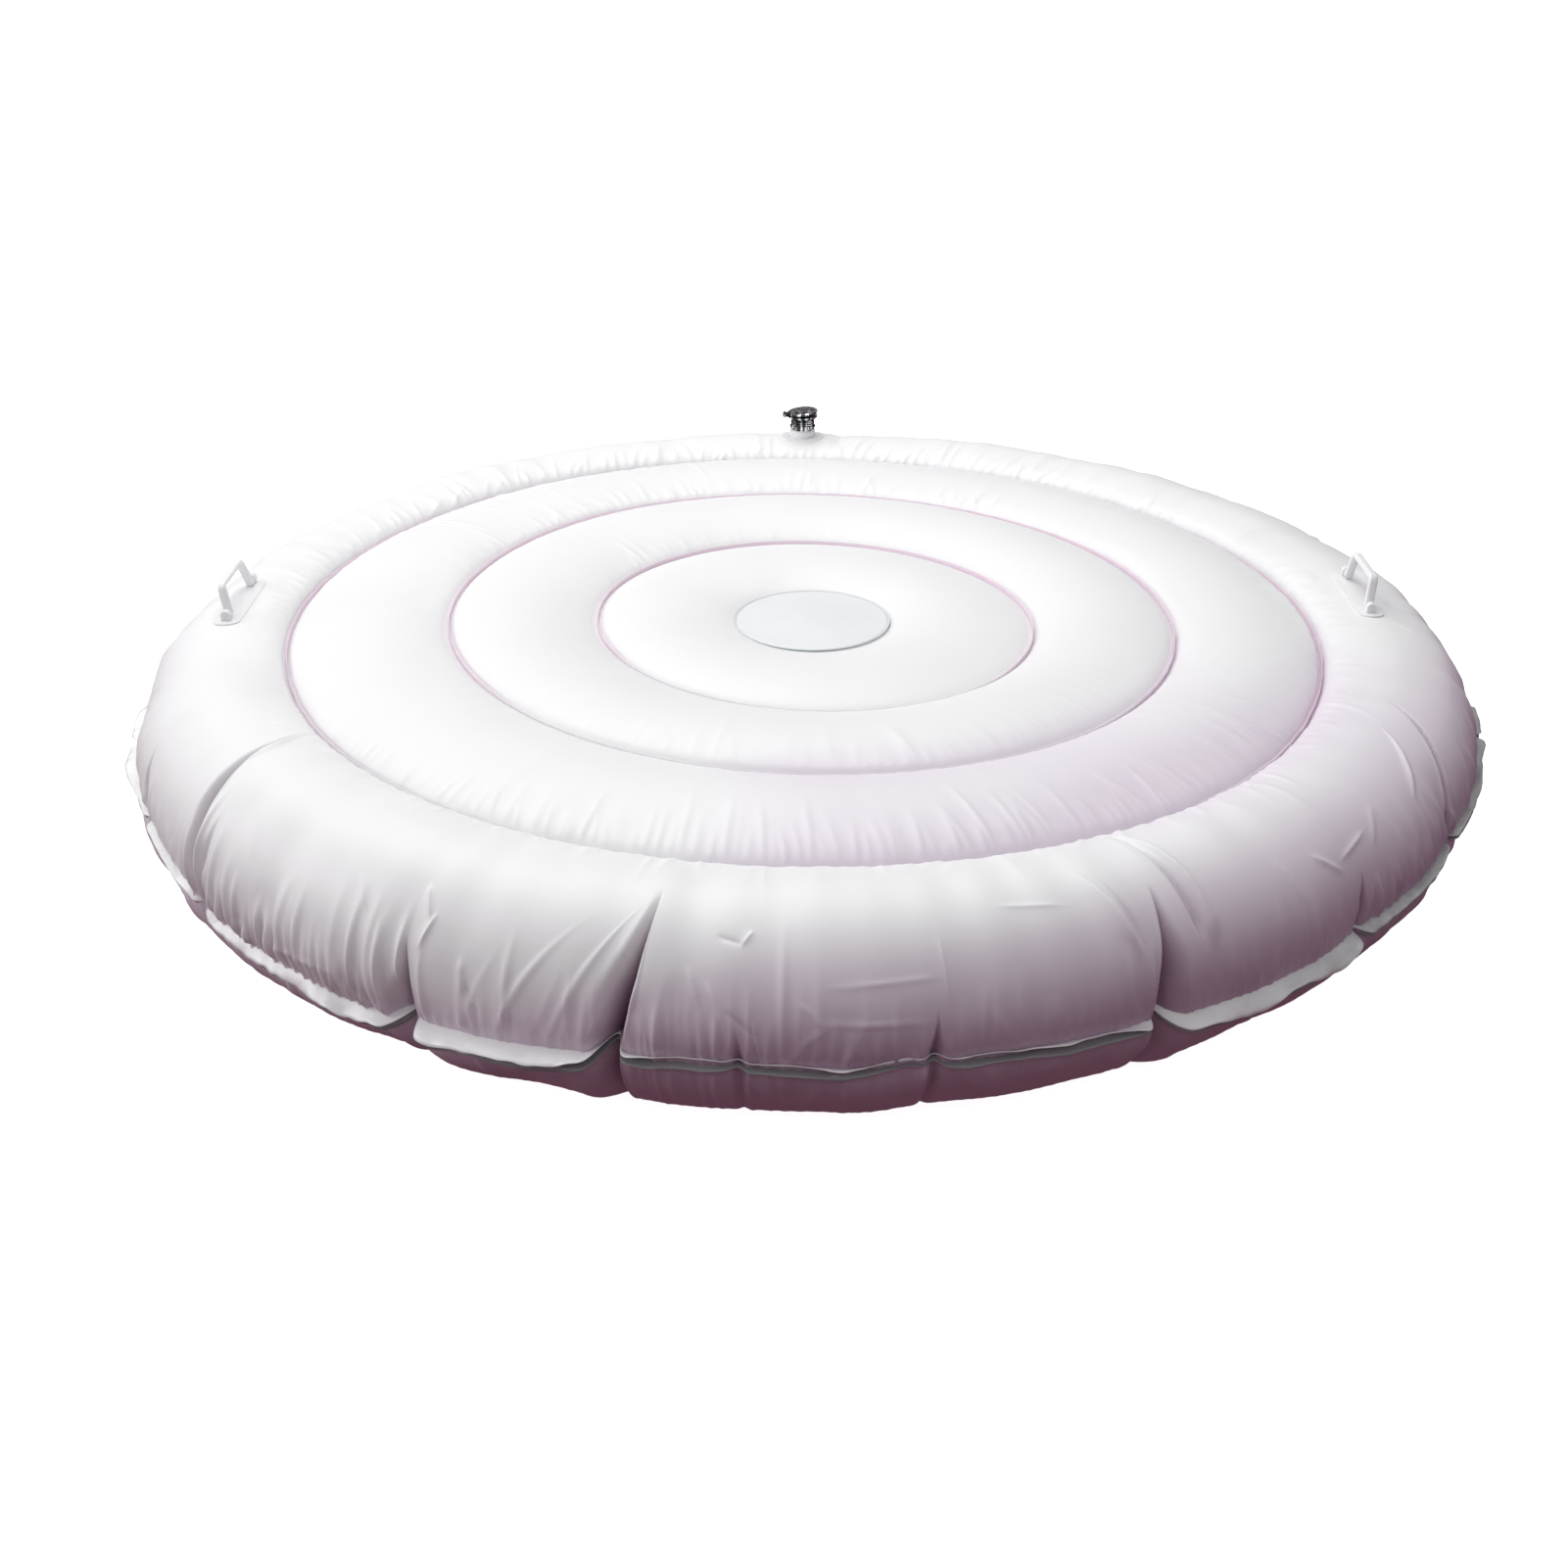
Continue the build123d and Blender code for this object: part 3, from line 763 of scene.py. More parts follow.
@dataclass
class Film:
    """Sizes of the two film panels and the places of the welds."""

    seam_r: float = 738.0
    seam_z: float = 110.0
    thickness: float = 0.8
    weld: float = 6.0
    tuck: float = 0.3                    # how far a chamber's wall starts below its weld
    rings: tuple[tuple[str, float, float], ...] = (
        ("centre", 88.0, 78.0), ("inner", 247.0, 79.0), ("middle", 408.0, 87.0), ("outer", 577.0, 77.0))
    # shift of each weld towards +X, and its skew
    drift: tuple[Point, ...] = ((12.0, -3.0), (14.0, -8.0), (8.0, -10.0), (-1.0, -6.0))
    fullness: tuple[float, ...] = (1.2, 2.6, 4.2, 6.0)   # how much the film bulges straight off each weld
    fullness_reach: float = 6.0
    top_tube_rise: float = 55.0
    bottom_tube_rise: float = 71.0

    def level(self, ring: int, side: int) -> float:
        """Height of a ring weld; side is 1 on top and -1 below."""
        return self.seam_z + side * self.rings[ring][2]

    def weld_sway(self, ring: int, bearings: np.ndarray) -> tuple[np.ndarray, np.ndarray]:
        """How far a ring weld strays from a true circle.

        Args:
            ring: number of the weld.
            bearings: degrees.

        Returns:
            Stray outwards and upwards, in millimetres.
        """
        shift, skew = self.drift[ring]
        fine = (self.rings[ring][1] / self.rings[-1][1]) ** 2
        angle = np.radians(bearings)
        outwards = (shift * np.cos(angle) + skew * np.sin(2 * angle)
                    + fine * wandering(bearings, (3, 9), 40 + ring)
                    + 0.3 * fine * wandering(bearings, (30, 90), 50 + ring))
        upwards = fine * (0.8 * wandering(bearings, (2, 7), 60 + ring)
                          + 0.25 * wandering(bearings, (40, 120), 70 + ring))
        return outwards, upwards

    def leaving_weld(self, ring: int, distance: np.ndarray) -> np.ndarray:
        """Extra height of the film at a distance from a ring weld."""
        return self.fullness[ring] * (1.0 - np.exp(-distance / self.fullness_reach))

    def crest(self) -> tuple[float, float]:
        """Radius and height of the top of the outer tube."""
        centre_r, centre_z, radius = self.tube_arc().circle()
        return centre_r, centre_z + radius

    def tube_arc(self) -> Arc:
        """Upper section of the outer tube."""
        start = (self.rings[3][1] + self.weld / 2, self.level(3, 1))
        return Arc(start, (self.seam_r, self.seam_z + self.thickness), self.top_tube_rise)

    def under_arc(self) -> Arc:
        """Lower section of the outer tube, from the rim inwards."""
        end = (self.rings[3][1] + self.weld / 2, self.level(3, -1))
        return Arc((self.seam_r, self.seam_z - self.thickness), end, self.bottom_tube_rise)


@dataclass
class Columns:
    """The bearings at which the outer film has its columns, closer together at the folds."""

    count: int
    closer: float = 3.0
    reach: float = 1.8                   # degrees each side of a fold
    samples: int = 7201

    def bearings(self) -> np.ndarray:
        """Degrees, ascending from -180."""
        fine = np.linspace(-180.0, 180.0, self.samples)
        density = np.ones_like(fine)
        for fold in MAIN_FOLDS:
            for _, bearing in fold.path:
                near = np.exp(-(turn_between(fine, bearing) / self.reach) ** 2)
                density += self.closer / len(fold.path) * near
        total = np.concatenate(([0.0], np.cumsum((density[1:] + density[:-1]) / 2)))
        return np.interp(np.arange(self.count) / self.count * total[-1], total, fine)


# ---------------------------------------------------------------- the chambers


def place_rows(points: np.ndarray, normals: np.ndarray, relief: Relief) -> np.ndarray:
    """Rows of film in space.

    Args:
        points: radius and height of each row.
        normals: outward direction of each row.
        relief: heights off the rows.

    Returns:
        Rows x columns x 3, in millimetres.
    """
    radius = points[:, :1] + normals[:, :1] * relief.height
    level = points[:, 1:] + normals[:, 1:] * relief.height
    angle = np.radians(relief.bearings)[None, :] + relief.sideways / np.maximum(radius, 60.0)
    return np.stack((radius * np.cos(angle), radius * np.sin(angle), level), -1)


def level_ring(radius: float, level: float, bearings: np.ndarray) -> np.ndarray:
    """One row of film that lies level on a wall."""
    flat = Relief(np.zeros(1), bearings, np.zeros(1), 1.0)
    return place_rows(np.array([[radius, level]]), np.array([[0.0, 1.0]]), flat)


def sway_rows(points: np.ndarray, bearings: np.ndarray,
              strays: Iterable[tuple[np.ndarray, Any]]) -> np.ndarray:
    """Moves rows by the weld strays, each with its share on every row.

    Args:
        points: rows x columns x 3.
        bearings: degrees of the columns.
        strays: share of each row, and the stray outwards and upwards.

    Returns:
        The moved points.
    """
    angle = np.radians(bearings)
    out = np.stack((np.cos(angle), np.sin(angle), np.zeros_like(angle)), -1)
    up = np.array((0.0, 0.0, 1.0))
    for share, (outwards, upwards) in strays:
        move = outwards[:, None] * out + upwards[:, None] * up
        points = points + share[:, None, None] * move[None]
    return points


@dataclass
class PillowChamber:
    """A ring-shaped air chamber between two ring welds, with a pillow above and one below."""

    name: str
    film: Film
    inner: int
    rise: float
    columns: int
    top_rows: int
    wrinkles: tuple[Wrinkles, ...]
    wall_gap: float = 0.3
    swell: float = 1.2
    seed: int = 7

    def _shares(self, rows: int) -> np.ndarray:
        """Arc shares, closer together at both welds."""
        even = np.linspace(0.0, 1.0, rows)
        return even - 0.10 * np.sin(2 * math.pi * even)

    def _side(self, bearings: np.ndarray, side: int, rows: int) -> np.ndarray:
        """The film above or below, from the inner weld outwards."""
        film, inner, outer = self.film, self.film.rings[self.inner], self.film.rings[self.inner + 1]
        half = film.weld / 2
        arc = Arc((inner[1] + half, film.level(self.inner, side)),
                  (outer[1] - half, film.level(self.inner + 1, side)),
                  side * (self.rise - film.fullness[self.inner + 1]))
        shares = self._shares(rows)
        points, normals, length = arc.sweep(shares)
        relief = Relief(shares, bearings, points[:, 0], length)
        edge = smoothstep(shares, 0.0, 0.18) * smoothstep(shares, 1.0, 0.82)
        slow = wandering(bearings, (3, 14), self.seed + side)
        relief.height += self.swell * edge[:, None] * slow[None, :]
        for row in self.wrinkles:
            relief.wrinkles(row)
        calm = smoothstep(shares, 0.0, 0.05) * smoothstep(shares, 1.0, 0.95)
        relief.height *= (0.35 + 0.65 * calm)[:, None]
        relief.height += ((1.0 - shares) * film.leaving_weld(self.inner, shares * length)
                          + shares * film.leaving_weld(self.inner + 1, (1.0 - shares) * length))[:, None]
        rows_in_space = place_rows(points, normals, relief)
        sunk = side * film.tuck
        first = level_ring(inner[1] + self.wall_gap, film.level(self.inner, side) - sunk, bearings)
        last = level_ring(outer[1] - self.wall_gap, film.level(self.inner + 1, side) - sunk, bearings)
        block = np.concatenate((first, rows_in_space, last))
        share = np.concatenate(([0.0], shares, [1.0]))
        if side < 0:
            return block
        return sway_rows(block, bearings, (
            ((1 - share) ** 2, film.weld_sway(self.inner, bearings)),
            (share**2, film.weld_sway(self.inner + 1, bearings))))

    def build(self) -> bpy.types.Object:
        """Closed chamber: the pillow above, the outer wall, the pillow below and the inner wall."""
        bearings = np.arange(self.columns) * 360.0 / self.columns - 180.0
        top = self._side(bearings, 1, self.top_rows)
        bottom = self._side(bearings, -1, self.top_rows // 3)[::-1]
        block = np.concatenate((top, bottom))
        piece = object_from(self.name, block.reshape(-1, 3), loop_faces(*block.shape[:2]), Look.FILM)
        ride_as(piece, CUSHION, "film_white", "top_panel", "bottom_panel")
        return piece


@dataclass
class CentreChamber:
    """The round air chamber under the centre patch."""

    film: Film
    columns: int = 240
    rows: int = 14
    dome: float = 1.4
    sunk: float = 0.9                    # how far the ends lie inside the panels
    wall_gap: float = 0.3

    def build(self) -> bpy.types.Object:
        """Closed drum with slightly domed ends."""
        _, radius, _ = self.film.rings[0]
        angle = np.radians(np.arange(self.columns) * 360.0 / self.columns)
        shares = (np.arange(self.rows) + 1) / self.rows
        rings, poles = [], []
        for side in (1, -1):
            level = self.film.level(0, side) - side * self.sunk
            reach = radius - self.wall_gap
            block = [np.stack((reach * s * np.cos(angle), reach * s * np.sin(angle),
                               np.full_like(angle, level + side * self.dome * (1 - s * s))), -1)
                     for s in shares]
            if side > 0:
                stray, _ = self.film.weld_sway(0, np.degrees(angle))
                block = [ring + s**2 * stray[:, None] * np.stack(
                    (np.cos(angle), np.sin(angle), 0 * angle), -1) for s, ring in zip(shares, block)]
            rings += block if side > 0 else block[::-1]
            poles.append((0.0, 0.0, level + side * self.dome))
        vertices = np.concatenate((np.concatenate(rings), np.array(poles)))
        piece = object_from("centre_chamber", vertices, disc_faces(2 * self.rows, self.columns), Look.FILM)
        ride_as(piece, CUSHION, "film_white", "top_panel", "bottom_panel")
        return piece


@dataclass
class TubeChamber:
    """The outer air tube with its deep folds, and the line of the rim that it is pulled to."""

    film: Film
    bearings: np.ndarray
    top_rows: int = 120
    under_rows: int = 54
    wall_gap: float = 0.3
    crest_share: float = 0.30            # share of the upper arc at which the crest lies
    rim_wrinkles: Wrinkles = Wrinkles(
        400, 1.9, 3.2, 1.0, 0.20, seed=11, drift=0.25, grip=0.5,
        sectors=((-130.0, 26.0, 1.9), (-72.0, 44.0, 1.0), (-38.0, 22.0, 1.3), (0.0, 360.0, 0.8)))
    rim_pleats: Wrinkles = Wrinkles(90, 1.4, 6.0, 1.0, 0.30, seed=12, drift=1.2, grip=0.3)
    under_pleats: Wrinkles = Wrinkles(150, 2.2, 9.0, 0.0, 0.30, seed=31, drift=1.2, grip=0.0)
    deep_pleats: Wrinkles = Wrinkles(
        340, 4.2, 3.6, 1.0, 0.25, seed=14, drift=0.15, grip=0.75,
        sectors=((-130.0, 27.0, 1.0), (-94.0, 22.0, 0.45), (-36.0, 18.0, 0.5)))
    weld_wrinkles: Wrinkles = Wrinkles(
        260, 1.1, 4.2, 0.0, 0.24, seed=13, drift=1.4, lean=-1.2, grip=0.35,
        sectors=((90.0, 200.0, 1.0), (-125.0, 60.0, 0.8), (-50.0, 90.0, 0.8), (0.0, 360.0, 0.5)))
    rim_drop: tuple[Point, ...] = (
        (-180, -2), (-160, 2), (-152, 8), (-146, 20), (-141, 28), (-130, 35), (-119, 36), (-108, 27),
        (-99, 20), (-72, 20), (-62, 20), (-45, 10), (-28, 0),
        (10, -3), (60, 3), (110, 0), (150, 3), (180, -2))
    outline: tuple[Point, ...] = (
        (-180, -4), (-160, 0), (-60, 0), (-35, 2), (-12, 9), (12, 12), (40, 12), (65, 4), (90, 0), (115, -4),
        (140, -12), (160, -11), (180, -4))
    under_pull: tuple[Point, ...] = (
        (-180, 0), (-140, 0), (-110, 6), (-90, 9), (-60, 12), (-20, 12), (0, 4), (40, 0), (180, 0))

    def _smooth_under_fittings(self, shares: np.ndarray) -> np.ndarray:
        """1 where the film may wrinkle, 0 under the handle pads and the valve."""
        joints = frame["record"]["behaviour"]["joints"]
        free = np.ones((len(shares), len(self.bearings)))
        near_crest = smoothstep(np.abs(shares - self.crest_share), 0.10, 0.17)[:, None]
        for joint in joints:
            if not joint["name"].endswith("handle_swing"):
                continue
            x, y, _ = joint["pos_m"]
            away = np.abs(turn_between(self.bearings, math.degrees(math.atan2(y, x))))
            free = np.minimum(free, np.maximum(near_crest, smoothstep(away, 7.0, 9.5)[None, :]))
        low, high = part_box("valve_boss")
        away = np.abs(turn_between(self.bearings, math.degrees(math.atan2(low.y + high.y, low.x + high.x))))
        near_boss = smoothstep(np.abs(shares - self.crest_share), 0.16, 0.24)[:, None]
        return np.minimum(free, np.maximum(near_boss, smoothstep(away, 3.0, 5.0)[None, :]))

    def _scallop(self) -> np.ndarray:
        """Slow pull of the rim towards each main fold."""
        pull = np.zeros_like(self.bearings)
        for fold in MAIN_FOLDS:
            across = np.radians(turn_between(self.bearings, fold.path[0][1])) * self.film.seam_r
            pull += 0.22 * fold.height * np.exp(-np.abs(across) / 30.0)
        return pull + 1.6 * wandering(self.bearings, (5, 30), 21)

    def _slide(self, block: np.ndarray, arc: Arc, share: np.ndarray) -> np.ndarray:
        """Slides film round the tube's section by the rim drop.

        Args:
            block: rows x columns x 3.
            arc: section whose circle the film slides on.
            share: how much of the drop each row takes.

        Returns:
            The moved rows.
        """
        centre_r, centre_z, radius = arc.circle()
        drop = np.interp(self.bearings, *zip(*self.rim_drop))[None, :] * share[:, None] / radius
        reach = np.hypot(block[..., 0], block[..., 1])
        out, up = reach - centre_r, block[..., 2] - centre_z
        moved = centre_r + out * np.cos(drop) + up * np.sin(drop)
        level = centre_z + up * np.cos(drop) - out * np.sin(drop)
        return np.stack((block[..., 0] * moved / reach, block[..., 1] * moved / reach, level), -1)

    def _top(self) -> tuple[np.ndarray, Relief]:
        """Upper film rows and the relief that shaped them."""
        even = np.linspace(0.0, 1.0, self.top_rows)
        shares = even + 0.055 * np.sin(2 * math.pi * even)
        points, normals, length = self.film.tube_arc().sweep(shares)
        relief = Relief(shares, self.bearings, points[:, 0], length)
        relief.wrinkles(self.deep_pleats)
        # Painted shade in the valleys of the deep pleats by the rim.
        valley_shade = 1.0 - np.clip(relief.height / self.deep_pleats.height, 0.0, 1.0)
        gain = np.array([self.deep_pleats.gain(float(b)) for b in self.bearings])
        relief.crease += 0.30 * valley_shade * gain[None, :] * smoothstep(shares, 0.80, 0.97)[:, None]
        for row in (self.rim_wrinkles, self.rim_pleats, self.weld_wrinkles):
            relief.wrinkles(row)
        slow = smoothstep(shares, 0.0, 0.3) * smoothstep(shares, 1.15, 0.75)
        relief.height += slow[:, None] * (1.5 * wandering(self.bearings, (4, 22), 22)
                                          + 0.6 * wandering(self.bearings, (30, 90), 23))[None, :]
        relief.height += (smoothstep(shares, 0.35, 1.0) ** 1.3)[:, None] * self._scallop()[None, :]
        for fold in MAIN_FOLDS + SIDE_RIDGES:
            relief.fold(fold)
        for nick in NICKS:
            relief.nick(nick)
        free = self._smooth_under_fittings(shares)
        relief.height *= free * (0.4 + 0.6 * smoothstep(shares, 0.0, 0.04))[:, None]
        away = shares * length
        relief.height += (self.film.leaving_weld(3, away) * np.exp(-((away / 34.0) ** 2)))[:, None]
        relief.sideways *= free
        block = self._slide(place_rows(points, normals, relief), self.film.tube_arc(), shares**2)
        level = np.zeros_like(self.bearings)
        block = sway_rows(block, self.bearings, (
            (smoothstep(shares, 0.30, 0.0), self.film.weld_sway(3, self.bearings)),
            (smoothstep(shares, 0.38, 0.62), (np.interp(self.bearings, *zip(*self.outline)), level))))
        return block, relief

    def _under(self, top: Relief, rim_line: np.ndarray) -> tuple[np.ndarray, np.ndarray]:
        """Lower film rows from the rim line inwards, and the painted fold shade that they carry on from
        above.
        """
        shares = np.linspace(0.0, 1.0, self.under_rows + 1)[1:] ** 1.15
        arc = self.film.under_arc()
        points, normals, length = arc.sweep(shares)
        relief = Relief(shares, self.bearings, points[:, 0], length)
        fade = np.exp(-shares / 0.30) * smoothstep(shares, 1.0, 0.6)
        relief.height += fade[:, None] * top.height[-1][None, :]
        relief.sideways += fade[:, None] * top.sideways[-1][None, :]
        relief.wrinkles(self.under_pleats)
        relief.height += (smoothstep(shares, 0.0, 0.12) * smoothstep(shares, 0.6, 0.3))[:, None] * (
            2.0 * wandering(self.bearings, (12, 60), 32))[None, :]
        plain = place_rows(points, normals, relief)
        block = self._slide(plain, arc, (1.0 - shares) ** 2)
        nearest = block[0] + (block[0] - block[1]) * shares[0] / (shares[1] - shares[0])
        block += ((1.0 - shares) ** 4)[:, None, None] * (rim_line - nearest)[None]
        pull = -np.interp(self.bearings, *zip(*self.under_pull))
        weight = smoothstep(shares, 0.03, 0.30) * smoothstep(shares, 1.0, 0.8)
        block = sway_rows(block, self.bearings, ((weight, (pull, np.zeros_like(pull))),))
        block[..., 2] = np.maximum(block[..., 2], 0.0)
        return block, 0.6 * fade[:, None] * top.crease[-1][None, :]

    def build(self) -> tuple[bpy.types.Object, np.ndarray]:
        """Builds the closed tube.

        Returns:
            The piece, and the line of the rim as columns x 3 in millimetres.
        """
        top, relief = self._top()
        under, under_crease_shade = self._under(relief, top[-1])
        radius = self.film.rings[3][1] + self.wall_gap
        above = level_ring(radius, self.film.level(3, 1) - self.film.tuck, self.bearings)
        above = sway_rows(above, self.bearings, ((np.ones(1), self.film.weld_sway(3, self.bearings)),))
        below = level_ring(radius, self.film.level(3, -1) + self.film.tuck, self.bearings)
        block = np.concatenate((above, top, under, below))
        piece = object_from("tube_chamber", block.reshape(-1, 3), loop_faces(*block.shape[:2]), Look.FILM)
        flat_row = np.zeros((1, len(self.bearings)))
        # Painted fold shade, stored on the points for the film's colour.
        crease = np.concatenate((flat_row, relief.crease, under_crease_shade, flat_row))
        stored = piece.data.attributes.new(CREASE_SHADE, "FLOAT", "POINT")
        stored.data.foreach_set("value", crease.ravel().astype(np.float32))
        ride_as(piece, CUSHION, "film_white", "top_panel", "bottom_panel")
        return piece, top[-1]


# ---------------------------------------------------------------- the welded rim


class RimSide(Enum):
    """The two film layers of the rim."""

    UPPER = "upper"
    LOWER = "lower"


@dataclass
class WeldedRim:
    """The loose edge of one film outside the rim weld: thin, wavy and drooping."""

    side: RimSide
    bearings: np.ndarray
    rim_line: np.ndarray
    widths: tuple[Point, ...] = (
        (-180, 12), (-170, 17), (-163, 16), (-157, 6), (-150, 8), (-142, 9), (-136, 13), (-120, 15),
        (-117, 19), (-104, 19), (-99, 8), (-80, 7), (-68, 10), (-62, 18), (-47, 17), (-42, 11), (-30, 8),
        (-16, 9), (-8, 17), (2, 12), (60, 11), (120, 13), (180, 12))
    least_width: float = 3.5
    thickness: float = 0.8
    root: float = 3.5                    # how far the layer reaches in under the film
    layer_gap: float = 0.05
    steps: int = 7
    droop: tuple[Point, ...] = (
        (-180, 16), (-150, 24), (-143, 50), (-121, 46), (-117, 24), (-106, 18), (-102, -20), (-99, -40),
        (-74, -38), (-68, -12), (-63, 34), (-48, 38), (-40, 12), (-30, -8), (-14, 0), (0, 16), (40, 36),
        (80, 14), (120, 34), (160, 18), (180, 16))
    opening: tuple[Point, ...] = ((-180, 22), (-108, 20), (-99, 52), (-74, 52), (-66, 20), (180, 22))
    smoothing_columns: int = 2400
    smoothing_window: int = 13

    def _angles(self) -> tuple[np.ndarray, np.ndarray]:
        """Tilt below level at the weld and its change towards the free edge, in degrees."""
        tilt = np.interp(self.bearings, *zip(*self.droop))
        ripple = 7.0 * wandering(self.bearings, (20, 70), 81) + 2.0 * wandering(self.bearings, (90, 200), 82)
        tilt = tilt + ripple
        if self.side is RimSide.LOWER:
            gape = np.interp(self.bearings, *zip(*self.opening)) * (
                1.0 + 0.3 * wandering(self.bearings, (12, 50), 83))
            tilt = tilt + np.maximum(gape, 5.0) + 3.0 * wandering(self.bearings, (80, 170), 84)
        curl = 16.0 * wandering(self.bearings, (15, 60), 85 if self.side is RimSide.UPPER else 86)
        return tilt, curl

    def _smoothed(self, line: np.ndarray) -> np.ndarray:
        """The rim line without its fine pleats."""
        even = np.linspace(-180.0, 180.0, self.smoothing_columns, endpoint=False)
        window = np.exp(-np.linspace(-2.0, 2.0, self.smoothing_window) ** 2)
        window /= window.sum()
        half = len(window) // 2
        columns = []
        for axis in range(3):
            values = np.interp(even, self.bearings, line[:, axis], period=360.0)
            padded = np.concatenate((values[-half:], values, values[:half]))
            columns.append(np.interp(self.bearings, even, np.convolve(padded, window, "valid"), period=360.0))
        return np.stack(columns, -1)

    def _widths(self) -> np.ndarray:
        """Width of the layer at each bearing; it is caught short at the folds."""
        uneven = (1.0 + 0.10 * wandering(self.bearings, (12, 50), 87)
                  + 0.02 * wandering(self.bearings, (90, 240), 88))
        width = np.interp(self.bearings, *zip(*self.widths)) * uneven
        for fold in MAIN_FOLDS:
            across = np.radians(turn_between(self.bearings, fold.path[0][1])) * Film.seam_r
            width *= 1.0 - min(0.6, -0.025 * fold.height) * np.exp(-np.abs(across / 8.0) ** 1.5)
        return np.maximum(width, self.least_width)

    def build(self) -> bpy.types.Object:
        """A closed thin band that follows the rim."""
        tilt, curl = self._angles()
        width = self._widths()
        angle = np.radians(self.bearings)
        out = np.stack((np.cos(angle), np.sin(angle), np.zeros_like(angle)), -1)
        up = np.array((0.0, 0.0, 1.0))
        sign = 1.0 if self.side is RimSide.UPPER else -1.0
        off_weld = sign * (0.5 * self.thickness + self.layer_gap)
        place = self._smoothed(self.rim_line) - self.root * out + off_weld * up
        middle, across = [place], []
        for step in range(self.steps):
            share = step / (self.steps - 1)
            slope = np.radians(tilt * min(1.0, 2.5 * share) + curl * share**2)
            along = np.cos(slope)[:, None] * out - np.sin(slope)[:, None] * up
            across.append(np.sin(slope)[:, None] * out + np.cos(slope)[:, None] * up)
            if step:
                middle.append(middle[-1] + along * ((width + self.root) / (self.steps - 1))[:, None])
        half = 0.5 * self.thickness
        taper = [half] * (self.steps - 1) + [0.6 * half]
        upper = [m + t * a for m, a, t in zip(middle, across, taper)]
        lower = [m - t * a for m, a, t in zip(middle, across, taper)]
        block = np.stack(upper + lower[::-1])
        name = f"{self.side.value}_rim"
        look = Look.RIM if self.side is RimSide.UPPER else Look.RIM_BACKING_SHADE
        piece = object_from(name, block.reshape(-1, 3), loop_faces(*block.shape[:2]), look)
        ride_as(piece, CUSHION, "film_white", "top_panel" if self.side is RimSide.UPPER else "bottom_panel")
        return piece


# ---------------------------------------------------------------- tapes and patch


class StripTree:
    """Geometry nodes that lay a flat strip with rounded edges along a closed line."""

    def __init__(self, look: Look) -> None:
        """Builds the tree.

        Args:
            look: the finish of the strip.
        """
        self.tree = bpy.data.node_groups.new("strip_along_line", "GeometryNodeTree")
        self.identifiers: dict[str, str] = {}
        interface = self.tree.interface
        interface.new_socket("Line", in_out="INPUT", socket_type="NodeSocketGeometry")
        for name in ("Width", "Thickness", "Edge Radius"):
            made = interface.new_socket(name, in_out="INPUT", socket_type="NodeSocketFloat")
            self.identifiers[name] = made.identifier
        interface.new_socket("Strip", in_out="OUTPUT", socket_type="NodeSocketGeometry")
        board = Board(self.tree)
        given = board.node("NodeGroupInput").outputs
        line = board.node("GeometryNodeMeshToCurve", {}, {0: given["Line"]})
        level = board.node("GeometryNodeSetCurveNormal", {"mode": "Z_UP"}, {0: line.outputs[0]})
        outline = board.node("GeometryNodeCurvePrimitiveQuadrilateral", {},
                             {"Width": given["Thickness"], "Height": given["Width"]})
        rounded = board.node("GeometryNodeFilletCurve", {"mode": "POLY"},
                             {"Curve": outline.outputs[0], "Radius": given["Edge Radius"], "Count": 3})
        strip = board.node("GeometryNodeCurveToMesh", {},
                           {"Curve": level.outputs[0], "Profile Curve": rounded.outputs[0]})
        smooth = board.node("GeometryNodeSetShadeSmooth", {}, {0: strip.outputs[0]})
        whole = board.node("GeometryNodeRealizeInstances", {}, {0: smooth.outputs[0]})
        dressed = board.node("GeometryNodeSetMaterial", {},
                             {"Geometry": whole.outputs[0], "Material": look.value.material()})
        board.node("NodeGroupOutput", {}, {0: dressed.outputs[0]})

    def lay(self, name: str, line: np.ndarray, sizes: dict[str, float]) -> bpy.types.Object:
        """Lays the strip along a closed line.

        Args:
            name: the piece's name.
            line: columns x 3 points in millimetres.
            sizes: millimetres for each named input.

        Returns:
            The finished piece, a plain mesh.
        """
        count = len(line)
        mesh = bpy.data.meshes.new(name + "_line")
        edges = [(i, (i + 1) % count) for i in range(count)]
        mesh.from_pydata((line * MM).tolist(), edges, [])
        piece = bpy.data.objects.new(name, mesh)
        bpy.context.scene.collection.objects.link(piece)
        modifier = piece.modifiers.new("strip", "NODES")
        modifier.node_group = self.tree
        for key, value in sizes.items():
            modifier[self.identifiers[key]] = value * MM
        evaluated = piece.evaluated_get(bpy.context.evaluated_depsgraph_get())
        plain = bpy.data.meshes.new_from_object(evaluated)
        piece.modifiers.clear()
        piece.data = plain
        plain.name = name
        return face_outwards(piece)


